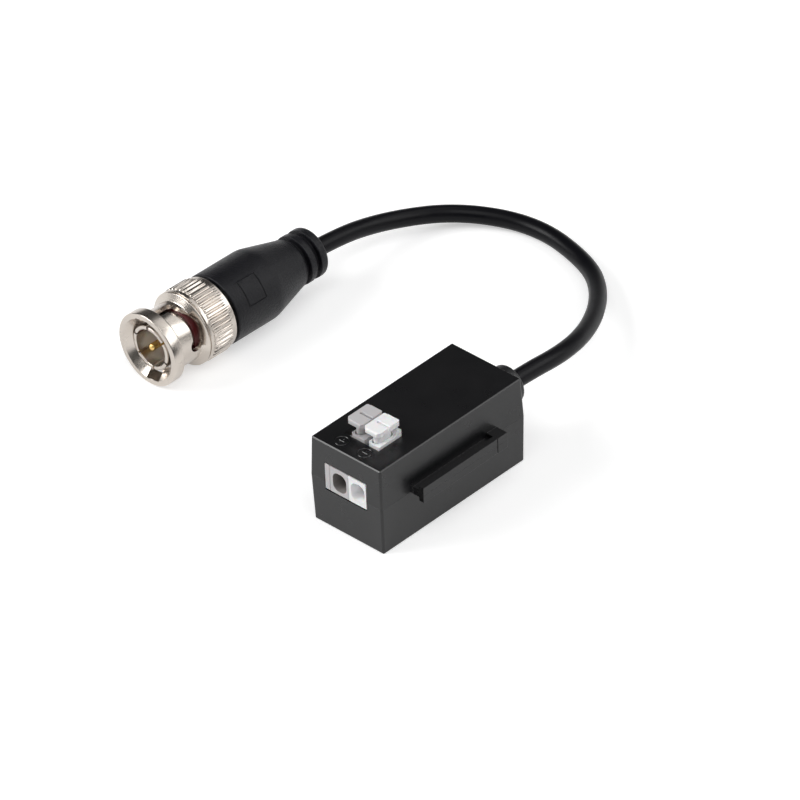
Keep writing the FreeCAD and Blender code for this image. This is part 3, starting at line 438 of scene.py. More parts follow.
def grain_group() -> None:
    """Fine pits of a moulded surface: two sizes of noise, as a normal.

    The height is a coarse noise plus a share of a fine one, and Depth scales it in metres.
    """
    settings = [("Scale", 3000.0), ("Depth", 1e-5), ("Strength", 0.5)]
    group = new_group(Effect.GRAIN.value, settings, "Normal", "NodeSocketVector")
    source = add_node(group, "NodeGroupInput")
    sink = add_node(group, "NodeGroupOutput")
    place = add_node(group, "ShaderNodeTexCoord")
    coarse = add_node(group, "ShaderNodeTexNoise", {"Detail": 3.0, "Roughness": 0.65})
    finer = add_node(group, "ShaderNodeMath", {1: FINE_GRAIN_SCALE}, operation="MULTIPLY")
    fine = add_node(group, "ShaderNodeTexNoise", {"Detail": 1.0})
    blend = add_node(group, "ShaderNodeMath", {1: FINE_GRAIN_SHARE}, operation="MULTIPLY_ADD")
    bump = add_node(group, "ShaderNodeBump")
    wire(
        group,
        (place, "Object", coarse, "Vector"),
        (place, "Object", fine, "Vector"),
        (source, "Scale", coarse, "Scale"),
        (source, "Scale", finer, 0),
        (finer, 0, fine, "Scale"),
        (fine, "Fac", blend, 0),
        (coarse, "Fac", blend, 2),
        (blend, 0, bump, "Height"),
        (source, "Depth", bump, "Distance"),
        (source, "Strength", bump, "Strength"),
        (bump, "Normal", sink, "Normal"),
    )


def mottle_group() -> None:
    """A slow, uneven change between two values: a noise mapped from Low to High."""
    settings = [("Scale", 300.0), ("Low", 0.3), ("High", 0.4)]
    group = new_group(Effect.MOTTLE.value, settings, "Value", "NodeSocketFloat")
    source = add_node(group, "NodeGroupInput")
    sink = add_node(group, "NodeGroupOutput")
    place = add_node(group, "ShaderNodeTexCoord")
    noise = add_node(group, "ShaderNodeTexNoise", {"Detail": 4.0})
    band = dict(zip(("From Min", "From Max"), MOTTLE_BAND))
    spread = add_node(group, "ShaderNodeMapRange", band)
    wire(
        group,
        (place, "Object", noise, "Vector"),
        (source, "Scale", noise, "Scale"),
        (noise, "Fac", spread, "Value"),
        (source, "Low", spread, "To Min"),
        (source, "High", spread, "To Max"),
        (spread, "Result", sink, "Value"),
    )


def turning_group() -> None:
    """Fine rings left by a lathe, about the plug's axis, as a normal.

    The height is a noise of the distance along the axis and of the distance from it, and of nothing else.
    """
    settings = [("Scale", 4000.0), ("Depth", 4e-6), ("Strength", 0.4)]
    group = new_group(Effect.LATHE.value, settings, "Normal", "NodeSocketVector")
    source = add_node(group, "NodeGroupInput")
    sink = add_node(group, "NodeGroupOutput")
    place = add_node(group, "ShaderNodeTexCoord")
    axis = {"Location": [value * MM for value in PLUG_FRONT], "Rotation": (0.0, 0.0, -PLUG_TURN)}
    centre = add_node(group, "ShaderNodeMapping", axis, vector_type="TEXTURE")
    split = add_node(group, "ShaderNodeSeparateXYZ")
    across = add_node(group, "ShaderNodeCombineXYZ")
    length = add_node(group, "ShaderNodeVectorMath", operation="LENGTH")
    rings = add_node(group, "ShaderNodeCombineXYZ")
    noise = add_node(group, "ShaderNodeTexNoise", {"Detail": 2.0}, noise_dimensions="2D")
    bump = add_node(group, "ShaderNodeBump")
    wire(
        group,
        (place, "Object", centre, "Vector"),
        (centre, "Vector", split, "Vector"),
        (split, "X", across, "X"),
        (split, "Z", across, "Z"),
        (across, "Vector", length, 0),
        (length, "Value", rings, "X"),
        (split, "Y", rings, "Y"),
        (rings, "Vector", noise, "Vector"),
        (source, "Scale", noise, "Scale"),
        (noise, "Fac", bump, "Height"),
        (source, "Depth", bump, "Distance"),
        (source, "Strength", bump, "Strength"),
        (bump, "Normal", sink, "Normal"),
    )


# Finishes


@dataclass(frozen=True)
class Finish:
    """A finish: a base colour with a second tone, a range of roughness, and a surface effect."""

    name: str
    colour: tuple[float, float, float]
    second: tuple[float, float, float]
    roughness: tuple[float, float]
    metallic: float = 0.0
    coat: float = 0.0
    coat_roughness: float = 0.1
    subsurface: float = 0.0
    specular: float = 0.5
    effect: Effect = Effect.GRAIN
    effect_scale: float = 3000.0
    effect_depth: float = 8e-6
    effect_strength: float = 0.4
    mottle_scale: float = 300.0
    tone_scale: float = 120.0

    def make(self) -> bpy.types.Material:
        """The Blender material for this finish."""
        material = bpy.data.materials.new(self.name)
        material.use_nodes = True
        tree = material.node_tree
        shader = tree.nodes["Principled BSDF"]
        values = {
            "Metallic": self.metallic,
            "Specular IOR Level": self.specular,
            "Coat Weight": self.coat,
            "Coat Roughness": self.coat_roughness,
        }
        if self.subsurface > 0:
            values |= {"Subsurface Weight": self.subsurface, "Subsurface Scale": SUBSURFACE_REACH * MM}
        for label, value in values.items():
            shader.inputs[label].default_value = value
        tone = self.shared(tree, Effect.MOTTLE, Scale=self.tone_scale, Low=0.0, High=1.0)
        tones = {"A": (*self.colour, 1.0), "B": (*self.second, 1.0)}
        colours = add_node(tree, "ShaderNodeMix", tones, data_type="RGBA")
        low, high = self.roughness
        mottle = self.shared(tree, Effect.MOTTLE, Scale=self.mottle_scale, Low=low, High=high)
        depth, strength = self.effect_depth, self.effect_strength
        effect = self.shared(tree, self.effect, Scale=self.effect_scale, Depth=depth, Strength=strength)
        wire(
            tree,
            (tone, "Value", colours, "Factor"),
            (colours, "Result", shader, "Base Color"),
            (mottle, "Value", shader, "Roughness"),
            (effect, "Normal", shader, "Normal"),
        )
        return material

    def shared(self, tree: bpy.types.NodeTree, effect: Effect, **values: float) -> bpy.types.Node:
        """One use of a shared effect, with its inputs' values."""
        return add_node(tree, "ShaderNodeGroup", values, node_tree=bpy.data.node_groups[effect.value])


FINISHES = (
    Finish(
        "housing black", (0.0060, 0.0060, 0.0068), (0.0080, 0.0080, 0.0088), (0.27, 0.33),
        effect_scale=2800.0, effect_depth=1e-5, effect_strength=0.5,
    ),
    Finish(
        "grey moulding", (0.52, 0.51, 0.52), (0.55, 0.535, 0.54), (0.34, 0.42),
        subsurface=0.1, effect_depth=4e-6,
    ),
    # Painted shade: a darker grey for the inside of the grey wire port.
    Finish("painted port shade", (0.20, 0.185, 0.175), (0.23, 0.215, 0.205), (0.40, 0.50), effect_depth=4e-6),
    Finish(
        "white moulding", (0.89, 0.89, 0.90), (0.91, 0.91, 0.92), (0.30, 0.38),
        subsurface=0.15, effect_depth=4e-6,
    ),
    Finish(
        "gland black", (0.0065, 0.0065, 0.0075), (0.009, 0.009, 0.010), (0.34, 0.42),
        effect_scale=3200.0,
    ),
    Finish(
        "cord jacket", (0.0030, 0.0030, 0.0044), (0.0042, 0.0042, 0.0058), (0.32, 0.40), specular=0.16,
        effect_scale=1800.0, effect_depth=1.2e-5, effect_strength=0.3,
    ),
    Finish(
        "boot black", (0.0055, 0.0055, 0.008), (0.0085, 0.0085, 0.011), (0.32, 0.40), specular=0.27,
        effect_scale=2600.0, effect_depth=1.1e-4, effect_strength=1.0,
    ),
    Finish(
        "nickel plate", (0.61, 0.555, 0.50), (0.66, 0.605, 0.55), (0.22, 0.29),
        metallic=1.0, effect=Effect.LATHE,
    ),
    Finish("gilt", (0.80, 0.53, 0.18), (0.85, 0.59, 0.23), (0.22, 0.30), metallic=1.0, effect=Effect.LATHE),
    Finish("red rubber", (0.075, 0.0022, 0.004), (0.10, 0.0035, 0.006), (0.35, 0.45)),
    Finish(
        "milky insulator", (0.88, 0.86, 0.81), (0.91, 0.89, 0.85), (0.35, 0.45),
        subsurface=0.2, effect=Effect.LATHE,
    ),
    Finish("spring steel", (0.50, 0.50, 0.50), (0.58, 0.57, 0.56), (0.25, 0.35), metallic=1.0),
    Finish("tinned contact", (0.72, 0.70, 0.66), (0.78, 0.76, 0.72), (0.20, 0.32), metallic=1.0),
    Finish("board green", (0.012, 0.12, 0.045), (0.02, 0.17, 0.07), (0.25, 0.35), coat=0.4),
    Finish(
        "ferrite", (0.030, 0.030, 0.033), (0.050, 0.050, 0.052), (0.60, 0.75),
        effect_scale=4500.0, effect_depth=2e-5,
    ),
    Finish("enamelled wire", (0.62, 0.24, 0.09), (0.68, 0.30, 0.13), (0.25, 0.35), metallic=0.6, coat=0.6),
    Finish("glazed ceramic", (0.72, 0.69, 0.62), (0.76, 0.74, 0.68), (0.20, 0.30), coat=0.5),
    Finish("chip brown", (0.16, 0.12, 0.09), (0.20, 0.16, 0.12), (0.50, 0.60)),
)


class Wardrobe:
    """The finishes, made once and handed out by name."""

    def __init__(self) -> None:
        """Builds the shared effects and then every finish."""
        grain_group()
        mottle_group()
        turning_group()
        self.materials = {finish.name: finish.make() for finish in FINISHES}

    def get(self, name: str) -> bpy.types.Material:
        """The material with this name."""
        return self.materials[name]


# The object's pieces


@dataclass
class CordLoop:
    """The cord from the gland to the boot, along its photographed loop."""

    diameter: float = 3.3
    route: tuple[tuple[float, float, float], ...] = (
        (0.0, 13.618, 9.65),
        (0.0, 25.818, 9.65),
        (0.0, 38.2, 8.3),
        (-5.0, 50.1, 5.2),
        (-12.8, 60.7, 2.7),
        (-21.2, 66.7, 1.7),
        (-36.0, 69.6, 1.7),
        (-49.2, 63.2, 2.3),
        (-55.4, 50.2, 4.4),
        (-56.055, 36.391, 7.25),
        (-56.470, 22.397, 7.25),
    )
    length: float = 132.0
    exit_y: float = 23.45

    def build(self, wardrobe: Wardrobe, on_cord: Sequence[bpy.types.Object]) -> bpy.types.Object:
        """Makes the cord as one smooth curve through its control points.

        Args:
            wardrobe: The finishes.
            on_cord: The pieces on the cord's far end; not used.

        Returns:
            The curve object.
        """
        curve = bpy.data.curves.new("cord", "CURVE")
        curve.dimensions = "3D"
        curve.resolution_u = 24
        curve.bevel_depth = self.diameter / 2 * MM
        curve.bevel_resolution = 10
        curve.use_fill_caps = True
        spline = curve.splines.new("NURBS")
        spline.points.add(len(self.route) - 1)
        for spot, place in zip(spline.points, self.route):
            spot.co = (*[value * MM for value in place], 1.0)
        spline.order_u = 3
        spline.use_endpoint_u = True
        piece = bpy.data.objects.new("cord", curve)
        bpy.context.scene.collection.objects.link(piece)
        settle(piece, ["coax_cord"], Body.MAIN, wardrobe.get("cord jacket"))
        return piece


@dataclass
class Plug:
    """The bayonet plug on the cord's end, in stations along its axis from the contact sleeve's front."""

    nut_front: float = -0.8
    nut_rear: float = 14.6
    bore: float = 4.9
    mouth: float = 6.1
    flange: float = 7.15
    flange_rear: float = 1.6
    neck: float = 5.8
    shoulder_foot: float = 6.9
    shoulder_top: float = 7.7
    split: float = 7.9
    groove: tuple[float, float] = (0.25, 0.25)
    band_end: float = 8.88
    web: tuple[float, float] = (9.35, 10.6)
    web_radius: float = 4.45
    rear_bore: float = 6.2
    knurl: tuple[float, float] = (9.0, 13.5)
    knurl_radius: float = 7.25
    knurl_depth: float = 0.3
    knurl_count: int = 45
    knurl_swing: float = 0.68
    knurl_bias: float = 0.22
    knurl_slope: float = 0.2
    rim: float = 6.95
    track_start: float = 95.5
    track_turn: float = 92.0
    track_width: float = 2.05
    track_first: float = 5.2
    crest: tuple[float, float] = (60.0, 6.35)
    track_last: float = 6.08
    seat_station: float = 5.8
    seat: float = 2.6
    lead_radius: float = 6.05
    notch_angle: float = 99.5
    notch_width: float = 3.15
    notch_end: float = 1.2
    sleeve: tuple[float, float] = (3.6, 4.35)
    slots: int = 6
    slot_width: float = 0.45
    slot_depth: float = 5.0
    first_slot: float = 37.5
    finger_tip: tuple[tuple[float, float], ...] = (
        (0.0, 0.32),
        (0.03, 0.192),
        (0.1, 0.08),
        (0.2, 0.016),
        (0.35, 0.0),
        (1.0, 0.0),
        (2.5, 0.0),
    )
    finger_edge: float = 0.06
    finger_overlap: float = 0.1
    body_outline: tuple[Corner, ...] = (
        (5.0, 3.6, 0.0),
        (5.0, 4.35, 0.0),
        (8.2, 4.35, 0.0),
        (8.2, 4.82, 0.0),
        (9.2, 4.82, 0.0),
        (9.2, 4.37, 0.0),
        (11.35, 4.37, 0.0),
        (11.35, 4.0, 0.0),
        (12.15, 4.0, 0.0),
        (12.15, 4.37, 0.0),
        (12.9, 4.37, 0.0),
        (12.9, 5.5, 0.15),
        (17.2, 5.5, 0.15),
        (17.2, 1.7, 0.0),
        (29.0, 1.7, 0.0),
        (29.0, 1.3, 0.0),
        (14.5, 1.3, 0.0),
        (14.5, 3.6, 0.0),
    )
    pin_outline: tuple[Corner, ...] = (
        (0.0, 0.0, 0.0),
        (0.0, 0.68, 0.6),
        (14.55, 0.68, 0.0),
        (14.55, 1.0, 0.1),
        (16.0, 1.0, 0.1),
        (16.0, 0.0, 0.0),
    )
    insulator_outline: tuple[Corner, ...] = (
        (5.3, 0.7, 0.0),
        (5.3, 1.6, 0.1),
        (5.55, 1.9, 0.1),
        (5.55, 3.2, 0.1),
        (5.3, 3.58, 0.05),
        (14.5, 3.58, 0.0),
        (14.5, 0.7, 0.0),
    )
    gasket_outline: tuple[Corner, ...] = (
        (6.4, 4.38, 0.1),
        (6.4, 4.82, 0.15),
        (8.2, 4.82, 0.1),
        (8.2, 4.38, 0.0),
    )
    boot_radius: float = 6.95
    boot_outline: tuple[Corner, ...] = (
        (15.2, 5.52, 0.0),
        (15.2, 6.95, 0.3),
        (25.8, 6.95, 6.0),
        (33.9, 4.8, 0.25),
        (34.2, 4.8, 0.15),
        (34.2, 3.8, 0.1),
        (35.35, 3.8, 0.1),
        (35.35, 4.8, 0.15),
        (36.7, 4.8, 0.15),
        (36.7, 3.8, 0.1),
        (37.85, 3.8, 0.1),
        (37.85, 4.8, 0.15),
        (39.7, 4.8, 0.8),
        (39.7, 1.7, 0.0),
        (32.6, 1.7, 0.0),
        (32.6, 2.4, 0.0),
        (17.22, 2.4, 0.0),
        (17.22, 5.52, 0.0),
    )
    frame_stations: tuple[float, float] = (18.2, 22.4)
    frame_angles: tuple[float, float] = (19.0, 61.0)
    frame_line: float = 0.16
    frame_depth: float = 0.12
    frame_steps: tuple[float, float] = (0.02, 0.003)

    def knurl_relief(self, station: np.ndarray, radius: np.ndarray, angle: np.ndarray) -> np.ndarray:
        """The knurl's ridges above their floor, with sloped ends.

        The ridge is a clipped cosine of count * angle, smoothed by a cubic, so its top is rounded and wider
        than the groove. It rises and falls over a short stretch at the band's two ends.
        """
        wave = np.cos(self.knurl_count * angle) + self.knurl_bias
        wave = np.clip(0.5 + self.knurl_swing * wave, 0, 1)
        wave = wave * wave * (3 - 2 * wave)
        start, end = self.knurl
        rise = np.clip(np.minimum(station - start, end - station) / self.knurl_slope, 0, 1)
        return np.where(radius > self.rim - 0.2, self.knurl_depth * wave * rise, 0.0)

    def track_middle(self, turn: np.ndarray) -> np.ndarray:
        """The station of the track's middle: half a cosine up to the crest, and half a cosine down."""
        crest_turn, crest = self.crest
        up = self.track_first + (crest - self.track_first) * (0.5 - 0.5 * np.cos(math.pi * turn / crest_turn))
        share = (self.track_turn - turn) / (self.track_turn - crest_turn)
        down = self.track_last + (crest - self.track_last) * (0.5 - 0.5 * np.cos(math.pi * share))
        return np.where(turn < crest_turn, up, down)

    def track_cutters(self, half_turn: float) -> list[bpy.types.Object]:
        """The solids of one bayonet track: the mouth, the lead-in, the curved track and its round seat.

        The track's section is a radial rectangle whose middle moves along the axis as its angle turns.
        """
        inner, outer = self.bore - 0.5, self.knurl_radius + 0.05
        start = self.track_start + half_turn
        turn = np.linspace(0, self.track_turn, 41)
        middle = self.track_middle(turn)
        half = self.track_width / 2
        station = np.stack([middle - half, middle - half, middle + half, middle + half], axis=1)
        radius = np.array([inner, outer, outer, inner])[None, :]
        angle = np.radians(start - turn)[:, None]
        track = mesh_object("track", *loft(PLUG_AXIS.place(station, radius, angle)))
        front = self.nut_front - 1.0
        notch = math.radians(self.notch_angle + half_turn)
        return [
            track,
            self.flat_cutter(math.radians(start), (front, self.track_first), self.track_width),
            self.flat_cutter(notch, (front, self.notch_end), self.notch_width),
            self.round_cutter(math.radians(start), self.track_first, half, outer),
            self.round_cutter(math.radians(start - self.track_turn), self.seat_station, self.seat / 2, outer),
        ]

    def across(self, angle: float) -> tuple[np.ndarray, np.ndarray]:
        """The directions out from the axis and round it, at an angle."""
        right, up = np.array(PLUG_AXIS.right), np.array(PLUG_AXIS.up)
        out = right * math.cos(angle) + up * math.sin(angle)
        return out, -right * math.sin(angle) + up * math.cos(angle)

    def flat_cutter(self, angle: float, stations: tuple[float, float], width: float) -> bpy.types.Object:
        """A straight block along the axis, under the flange."""
        out, side = self.across(angle)
        half = width / 2
        inner, outer = self.bore - 0.5, self.lead_radius
        corners = np.array([out * reach + side * shift for reach, shift in (
            (inner, -half), (outer, -half), (outer, half), (inner, half)
        )])
        along = np.array(PLUG_AXIS.along)
        sections = np.array([np.array(PLUG_AXIS.origin) + along * station + corners for station in stations])
        return mesh_object("lead", *loft(sections))

    def round_cutter(self, angle: float, station: float, radius: float, outer: float) -> bpy.types.Object:
        """A radial cylinder through the nut's wall."""
        out, side = self.across(angle)
        along = np.array(PLUG_AXIS.along)
        turn = np.linspace(0, 2 * math.pi, 64, endpoint=False)[:, None]
        circle = radius * (np.cos(turn) * along + np.sin(turn) * side) + along * station
        circle = circle + np.array(PLUG_AXIS.origin)
        sections = np.stack([circle + out * (self.bore - 0.5), circle + out * outer])
        return mesh_object("seat", *loft(sections))

    def nut(self, wardrobe: Wardrobe) -> bpy.types.Object:
        """The coupling nut: a front shell with the two tracks, and the knurled grip behind it."""
        front = filleted(
            [
                (self.nut_front, self.mouth, 0.1),
                (self.nut_front, self.flange, 0.2),
                (self.flange_rear, self.flange, 0.25),
                (self.flange_rear + 0.05, self.neck, 0.9),
                (self.shoulder_foot, self.neck, 0.25),
                (self.shoulder_top, self.flange, 0.2),
                (self.split, self.flange, 0.08),
                (self.split, self.bore, 0.0),
                (self.nut_front + 1.4, self.bore, 0.3),
            ]
        )
        shell = lathe("coupling_nut_skin", PLUG_AXIS, front, columns=288)
        for half_turn in (0.0, 180.0):
            carve(shell, self.track_cutters(half_turn), 35.0)
        start, end = self.knurl
        slope = np.linspace(0.0, self.knurl_slope, 5)
        rows = np.concatenate([start + slope, end - slope[::-1]])
        width, depth = self.groove
        seam = self.split - 0.02
        grip = filleted(
            [
                (seam, self.bore, 0.0),
                (seam, self.flange - depth, 0.0),
                (self.split + width, self.flange - depth, 0.0),
                (self.split + width, self.flange, 0.1),
                (self.band_end, self.flange, 0.1),
                (self.band_end, self.rim, 0.0),
            ]
            + [(float(row), self.rim, 0.0) for row in rows]
            + [
                (self.nut_rear, self.rim, 0.2),
                (self.nut_rear, self.rear_bore, 0.1),
                (self.web[1], self.rear_bore, 0.0),
                (self.web[1], self.web_radius, 0.0),
                (self.web[0], self.web_radius, 0.0),
                (self.web[0], self.bore, 0.0),
            ]
        )
        columns = self.knurl_count * 12
        ring = lathe("grip", PLUG_AXIS, grip, columns=columns, relief=self.knurl_relief, crease=40.0)
        absorb(shell, ring, 38.0)
        settle(shell, ["coupling_nut"], Body.NUT, wardrobe.get("nickel plate"))
        return shell

    def finger(self, start: float, end: float) -> Skin:
        """One finger of the contact sleeve: a rounded section carried along the axis to a rounded tip.

        Args:
            start: Its first angle, in radians.
            end: Its last angle.

        Returns:
            The points and the faces.
        """
        inner, outer = self.sleeve
        tip = np.array([*self.finger_tip, (self.slot_depth + self.finger_overlap, 0.0)])
        side = self.finger_edge
        angles = np.linspace(start, end, 14)[1:-1]
        first, last = start + side / outer, end - side / outer
        ends = ([first], [last, end, end, last], [first, start, start])
        ring_angles = np.concatenate([ends[0], angles, ends[1], angles[::-1], ends[2]])
        arc = np.ones(len(angles) + 2)
        corner = [outer - side, inner + side]
        ring_radii = np.concatenate([arc * outer, corner, arc * inner, corner[::-1]])
        middle = (inner + outer) / 2
        radii = middle + (ring_radii - middle)[None, :] * (1 - tip[:, 1])[:, None]
        return loft(PLUG_AXIS.place(tip[:, 0][:, None], radii, ring_angles[None, :]))

    def body(self, wardrobe: Wardrobe) -> bpy.types.Object:
        """The plug's body: six sprung fingers on a turned sleeve with its shoulder, collar and stem."""
        pitch = 2 * math.pi / self.slots
        half_slot = self.slot_width / 2 / self.sleeve[1]
        starts = [math.radians(self.first_slot) + index * pitch + half_slot for index in range(self.slots)]
        fingers = [self.finger(start, start + pitch - 2 * half_slot) for start in starts]
        piece = mesh_object("plug_body_skin", *joined(fingers))
        turned = filleted(self.body_outline)
        absorb(piece, lathe("sleeve", PLUG_AXIS, turned, columns=120), 35.0)
        settle(piece, ["plug_body"], Body.MAIN, wardrobe.get("nickel plate"))
        return piece

    def turned(self, wardrobe: Wardrobe) -> list[bpy.types.Object]:
        """The gilt pin, the insulator with its dished face, and the rubber ring, each turned."""
        kinds = (
            ("centre_pin", self.pin_outline, 48, False, 10, "gilt", "gilt"),
            ("plug_insulator", self.insulator_outline, 96, True, 6, "clear_insulator", "milky insulator"),
            ("plug_gasket", self.gasket_outline, 96, True, 6, "red_rubber", "red rubber"),
        )
        pieces = []
        for node, corners, columns, closed, steps, slot, finish in kinds:
            outline = filleted(corners, closed, steps)
            piece = lathe(f"{node}_skin", PLUG_AXIS, outline, columns=columns, closed=closed)
            settle(piece, [node], Body.MAIN, wardrobe.get(finish))
            pieces.append(piece)
        return pieces

    def frame_relief(self, station: np.ndarray, radius: np.ndarray, angle: np.ndarray) -> np.ndarray:
        """The plain frame line sunk in the boot's side.

        The depth is that of a rectangle's border: inside the outer rectangle and outside the inner one.
        """
        first, last = self.frame_stations
        low, high = np.radians(self.frame_angles)
        line = self.frame_line
        turn = line / self.boot_radius
        outer = (station > first) & (station < last) & (angle > low) & (angle < high)
        inner = (station > first + line) & (station < last - line)
        inner &= (angle > low + turn) & (angle < high - turn)
        on_side = np.abs(radius - self.boot_radius) < self.frame_depth
        return np.where(outer & ~inner & on_side, -self.frame_depth, 0.0)

    @staticmethod
    def line_edges(ends: Sequence[float], width: float, step: float) -> list[float]:
        """Close pairs of values on either side of each edge of the frame's line."""
        edges = []
        for end, inwards in zip(ends, (1, -1)):
            for edge in (end, end + inwards * width):
                edges += [edge - step, edge + step]
        return edges

    def boot(self, wardrobe: Wardrobe) -> bpy.types.Object:
        """The moulded boot, with finer rows and columns where its frame line runs."""
        outline = filleted(self.boot_outline, steps=8)
        step, turn_step = self.frame_steps
        stations = sorted(self.line_edges(self.frame_stations, self.frame_line, step))
        spot = int(np.argmax(outline[:, 0] > stations[-1]))
        rows = [(station, self.boot_radius) for station in stations]
        outline = np.vstack([outline[:spot], rows, outline[spot:]])
        turn = self.frame_line / self.boot_radius
        fine = self.line_edges(np.radians(self.frame_angles), turn, turn_step)
        angles = np.sort(np.concatenate([np.linspace(0, 2 * math.pi, 120, endpoint=False), fine]))
        piece = lathe(
            "plug_boot_skin", PLUG_AXIS, outline, relief=self.frame_relief, angles=angles, crease=40.0
        )
        settle(piece, ["plug_boot"], Body.MAIN, wardrobe.get("boot black"))
        return piece

    def build(self, wardrobe: Wardrobe) -> list[bpy.types.Object]:
        """Every piece of the plug."""
        return [self.nut(wardrobe), self.body(wardrobe), *self.turned(wardrobe), self.boot(wardrobe)]


@dataclass
class Gland:
    """The bush that the cord leaves the housing through."""

    outline: tuple[Corner, ...] = (
        (14.818, 1.7, 0.0),
        (23.45, 1.7, 0.12),
        (23.45, 3.67, 0.6),
        (18.15, 3.9, 0.1),
        (18.15, 3.3, 0.0),
        (16.318, 3.3, 0.0),
        (16.318, 4.5, 0.0),
        (14.818, 4.5, 0.0),
    )

    def build(self, wardrobe: Wardrobe) -> bpy.types.Object:
        """Turns the bush about the cord's exit."""
        piece = lathe("cable_gland_skin", GLAND_AXIS, filleted(self.outline, steps=8), columns=96)
        settle(piece, ["cable_gland"], Body.MAIN, wardrobe.get("gland black"))
        return piece


@dataclass
class Mouldings:
    """The housing's shells and the terminal's mouldings, copied from the frame with rounded edges."""

    shell_rounding: float = 0.15
    block_rounding: float = 0.1
    lid_height: float = 17.6
    mark_radius: float = 1.25
    mark_bar: float = 1.25
    mark_line: tuple[float, float] = (0.20, 0.03)
    mark_depth: float = 0.08
    plus_centre: tuple[float, float] = (-3.1, -15.43)
    minus_centre: tuple[float, float] = (2.3, -15.4)
    port_centre: tuple[float, float] = (-1.5, 10.7)
    port_half: tuple[float, float] = (1.7, 2.0)
    port_start: float = -17.99
    pieces: dict[str, tuple[Body, str, str]] = field(
        default_factory=lambda: {
            "lower_shell": (Body.MAIN, "shell", "housing black"),
            "upper_shell": (Body.MAIN, "shell", "housing black"),
            "terminal_end_plate": (Body.MAIN, "grey_plastic", "grey moulding"),
            "grey_module": (Body.MAIN, "grey_plastic", "grey moulding"),
            "white_module": (Body.MAIN, "white_plastic", "white moulding"),
            "grey_lever": (Body.GREY_LEVER, "grey_plastic", "grey moulding"),
            "white_lever": (Body.WHITE_LEVER, "white_plastic", "white moulding"),
        }
    )

    def mark_ring(self, centre: tuple[float, float]) -> bpy.types.Object:
        """The cutter of a mark's circle: a groove with sloping walls, turned about the mark's centre."""
        axis = Axis((*centre, self.lid_height), (0.0, 0.0, 1.0), (1.0, 0.0, 0.0), (0.0, 1.0, 0.0))
        top, floor = self.mark_line
        depth = self.mark_depth
        outline = np.array(
            [
                (-depth, self.mark_radius - floor / 2),
                (-depth, self.mark_radius + floor / 2),
                (0.0, self.mark_radius + top / 2),
                (depth, self.mark_radius + top / 2),
                (depth, self.mark_radius - top / 2),
                (0.0, self.mark_radius - top / 2),
            ]
        )
        return lathe("mark ring", axis, outline, columns=72)

    def mark_stroke(self, centre: tuple[float, float], along_y: bool) -> bpy.types.Object:
        """The cutter of a mark's bar: a straight groove with sloping walls and ends."""
        top, floor = self.mark_line
        slope = (top - floor) / 2
        sections = []
        for height, inset in ((-self.mark_depth, slope), (0.0, 0.0), (self.mark_depth, 0.0)):
            reach = self.mark_bar / 2 - inset
            half = top / 2 - inset
            corners = np.array([(-reach, -half), (reach, -half), (reach, half), (-reach, half)])
            flat = corners[:, ::-1] * (1, -1) if along_y else corners
            level = np.full((4, 1), self.lid_height + height)
            sections.append(np.hstack([flat + np.array(centre), level]))
        return mesh_object("mark bar", *loft(np.array(sections)))

    def marks(self) -> list[bpy.types.Object]:
        """The cutters of the ringed plus and the ringed minus."""
        return [
            self.mark_ring(self.plus_centre),
            self.mark_stroke(self.plus_centre, False),
            self.mark_stroke(self.plus_centre, True),
            self.mark_ring(self.minus_centre),
            self.mark_stroke(self.minus_centre, False),
        ]

    def paint_port_shade(self, piece: bpy.types.Object, finish: bpy.types.Material) -> None:
        """Paints shade on the inside of the grey wire port: a darker grey on each face whose middle lies
        inside it.
        """
        faces = piece.data.polygons
        middles = np.empty(len(faces) * 3)
        faces.foreach_get("center", middles)
        x, y, z = (middles.reshape(-1, 3) / MM).T
        inside = np.abs(x - self.port_centre[0]) < self.port_half[0]
        inside &= np.abs(z - self.port_centre[1]) < self.port_half[1]
        inside &= y > self.port_start
        piece.data.materials.append(finish)
        faces.foreach_set("material_index", inside.astype(np.int32))

    def build(self, wardrobe: Wardrobe) -> None:
        """Makes each moulding."""
        for node, (body, slot, finish) in self.pieces.items():
            width = self.shell_rounding if node.endswith("shell") else self.block_rounding
            piece = softened_copy(node, width, segments=3 if node.endswith("shell") else 2)
            if node == "upper_shell":
                carve(piece, self.marks(), 30.0)
            weigh_normals(piece)
            settle(piece, [node], body, wardrobe.get(finish))
            # Painted shade: the inside of the grey wire port gets a darker grey.
            if node == "grey_module":
                self.paint_port_shade(piece, wardrobe.get("painted port shade"))


@dataclass
class Inside:
    """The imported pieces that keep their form, each with its finish, and the springs under the levers."""

    spring_seat: float = 11.8
    spring_keep: float = 0.487
    springs: dict[str, str] = field(
        default_factory=lambda: {
            "grey_clamp_spring": "grey_lever_press",
            "white_clamp_spring": "white_lever_press",
        }
    )
    finishes: dict[str, str] = field(
        default_factory=lambda: {
            "grey_contact": "tinned contact",
            "white_contact": "tinned contact",
            "circuit_board": "board green",
            "transformer_core": "ferrite",
            "transformer_winding": "enamelled wire",
            "surge_tube": "glazed ceramic",
            "chip_parts": "chip brown",
            "coax_core_lead": "enamelled wire",
            "coax_shield_lead": "tinned contact",
            "crimp_ferrule": "nickel plate",
            "plug_core_stub": "milky insulator",
            "wave_washer": "spring steel",
            "snap_ring": "spring steel",
        }
    )

    def build(self, wardrobe: Wardrobe) -> None:
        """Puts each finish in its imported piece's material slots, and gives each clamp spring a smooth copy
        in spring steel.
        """
        for node, joint in self.springs.items():
            piece = link_smooth(f"{node}_skin", packed_copy(node), 30.0)
            settle(piece, [node], Body.MAIN, wardrobe.get("spring steel"))
            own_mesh(piece)
        for node, finish in self.finishes.items():
            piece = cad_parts[node]
            for place in piece.material_slots:
                place.material = wardrobe.get(finish)
            if not piece.material_slots:
                piece.data.materials.append(wardrobe.get(finish))
            LOG.info("%s keeps its packed form", node)


# The studio


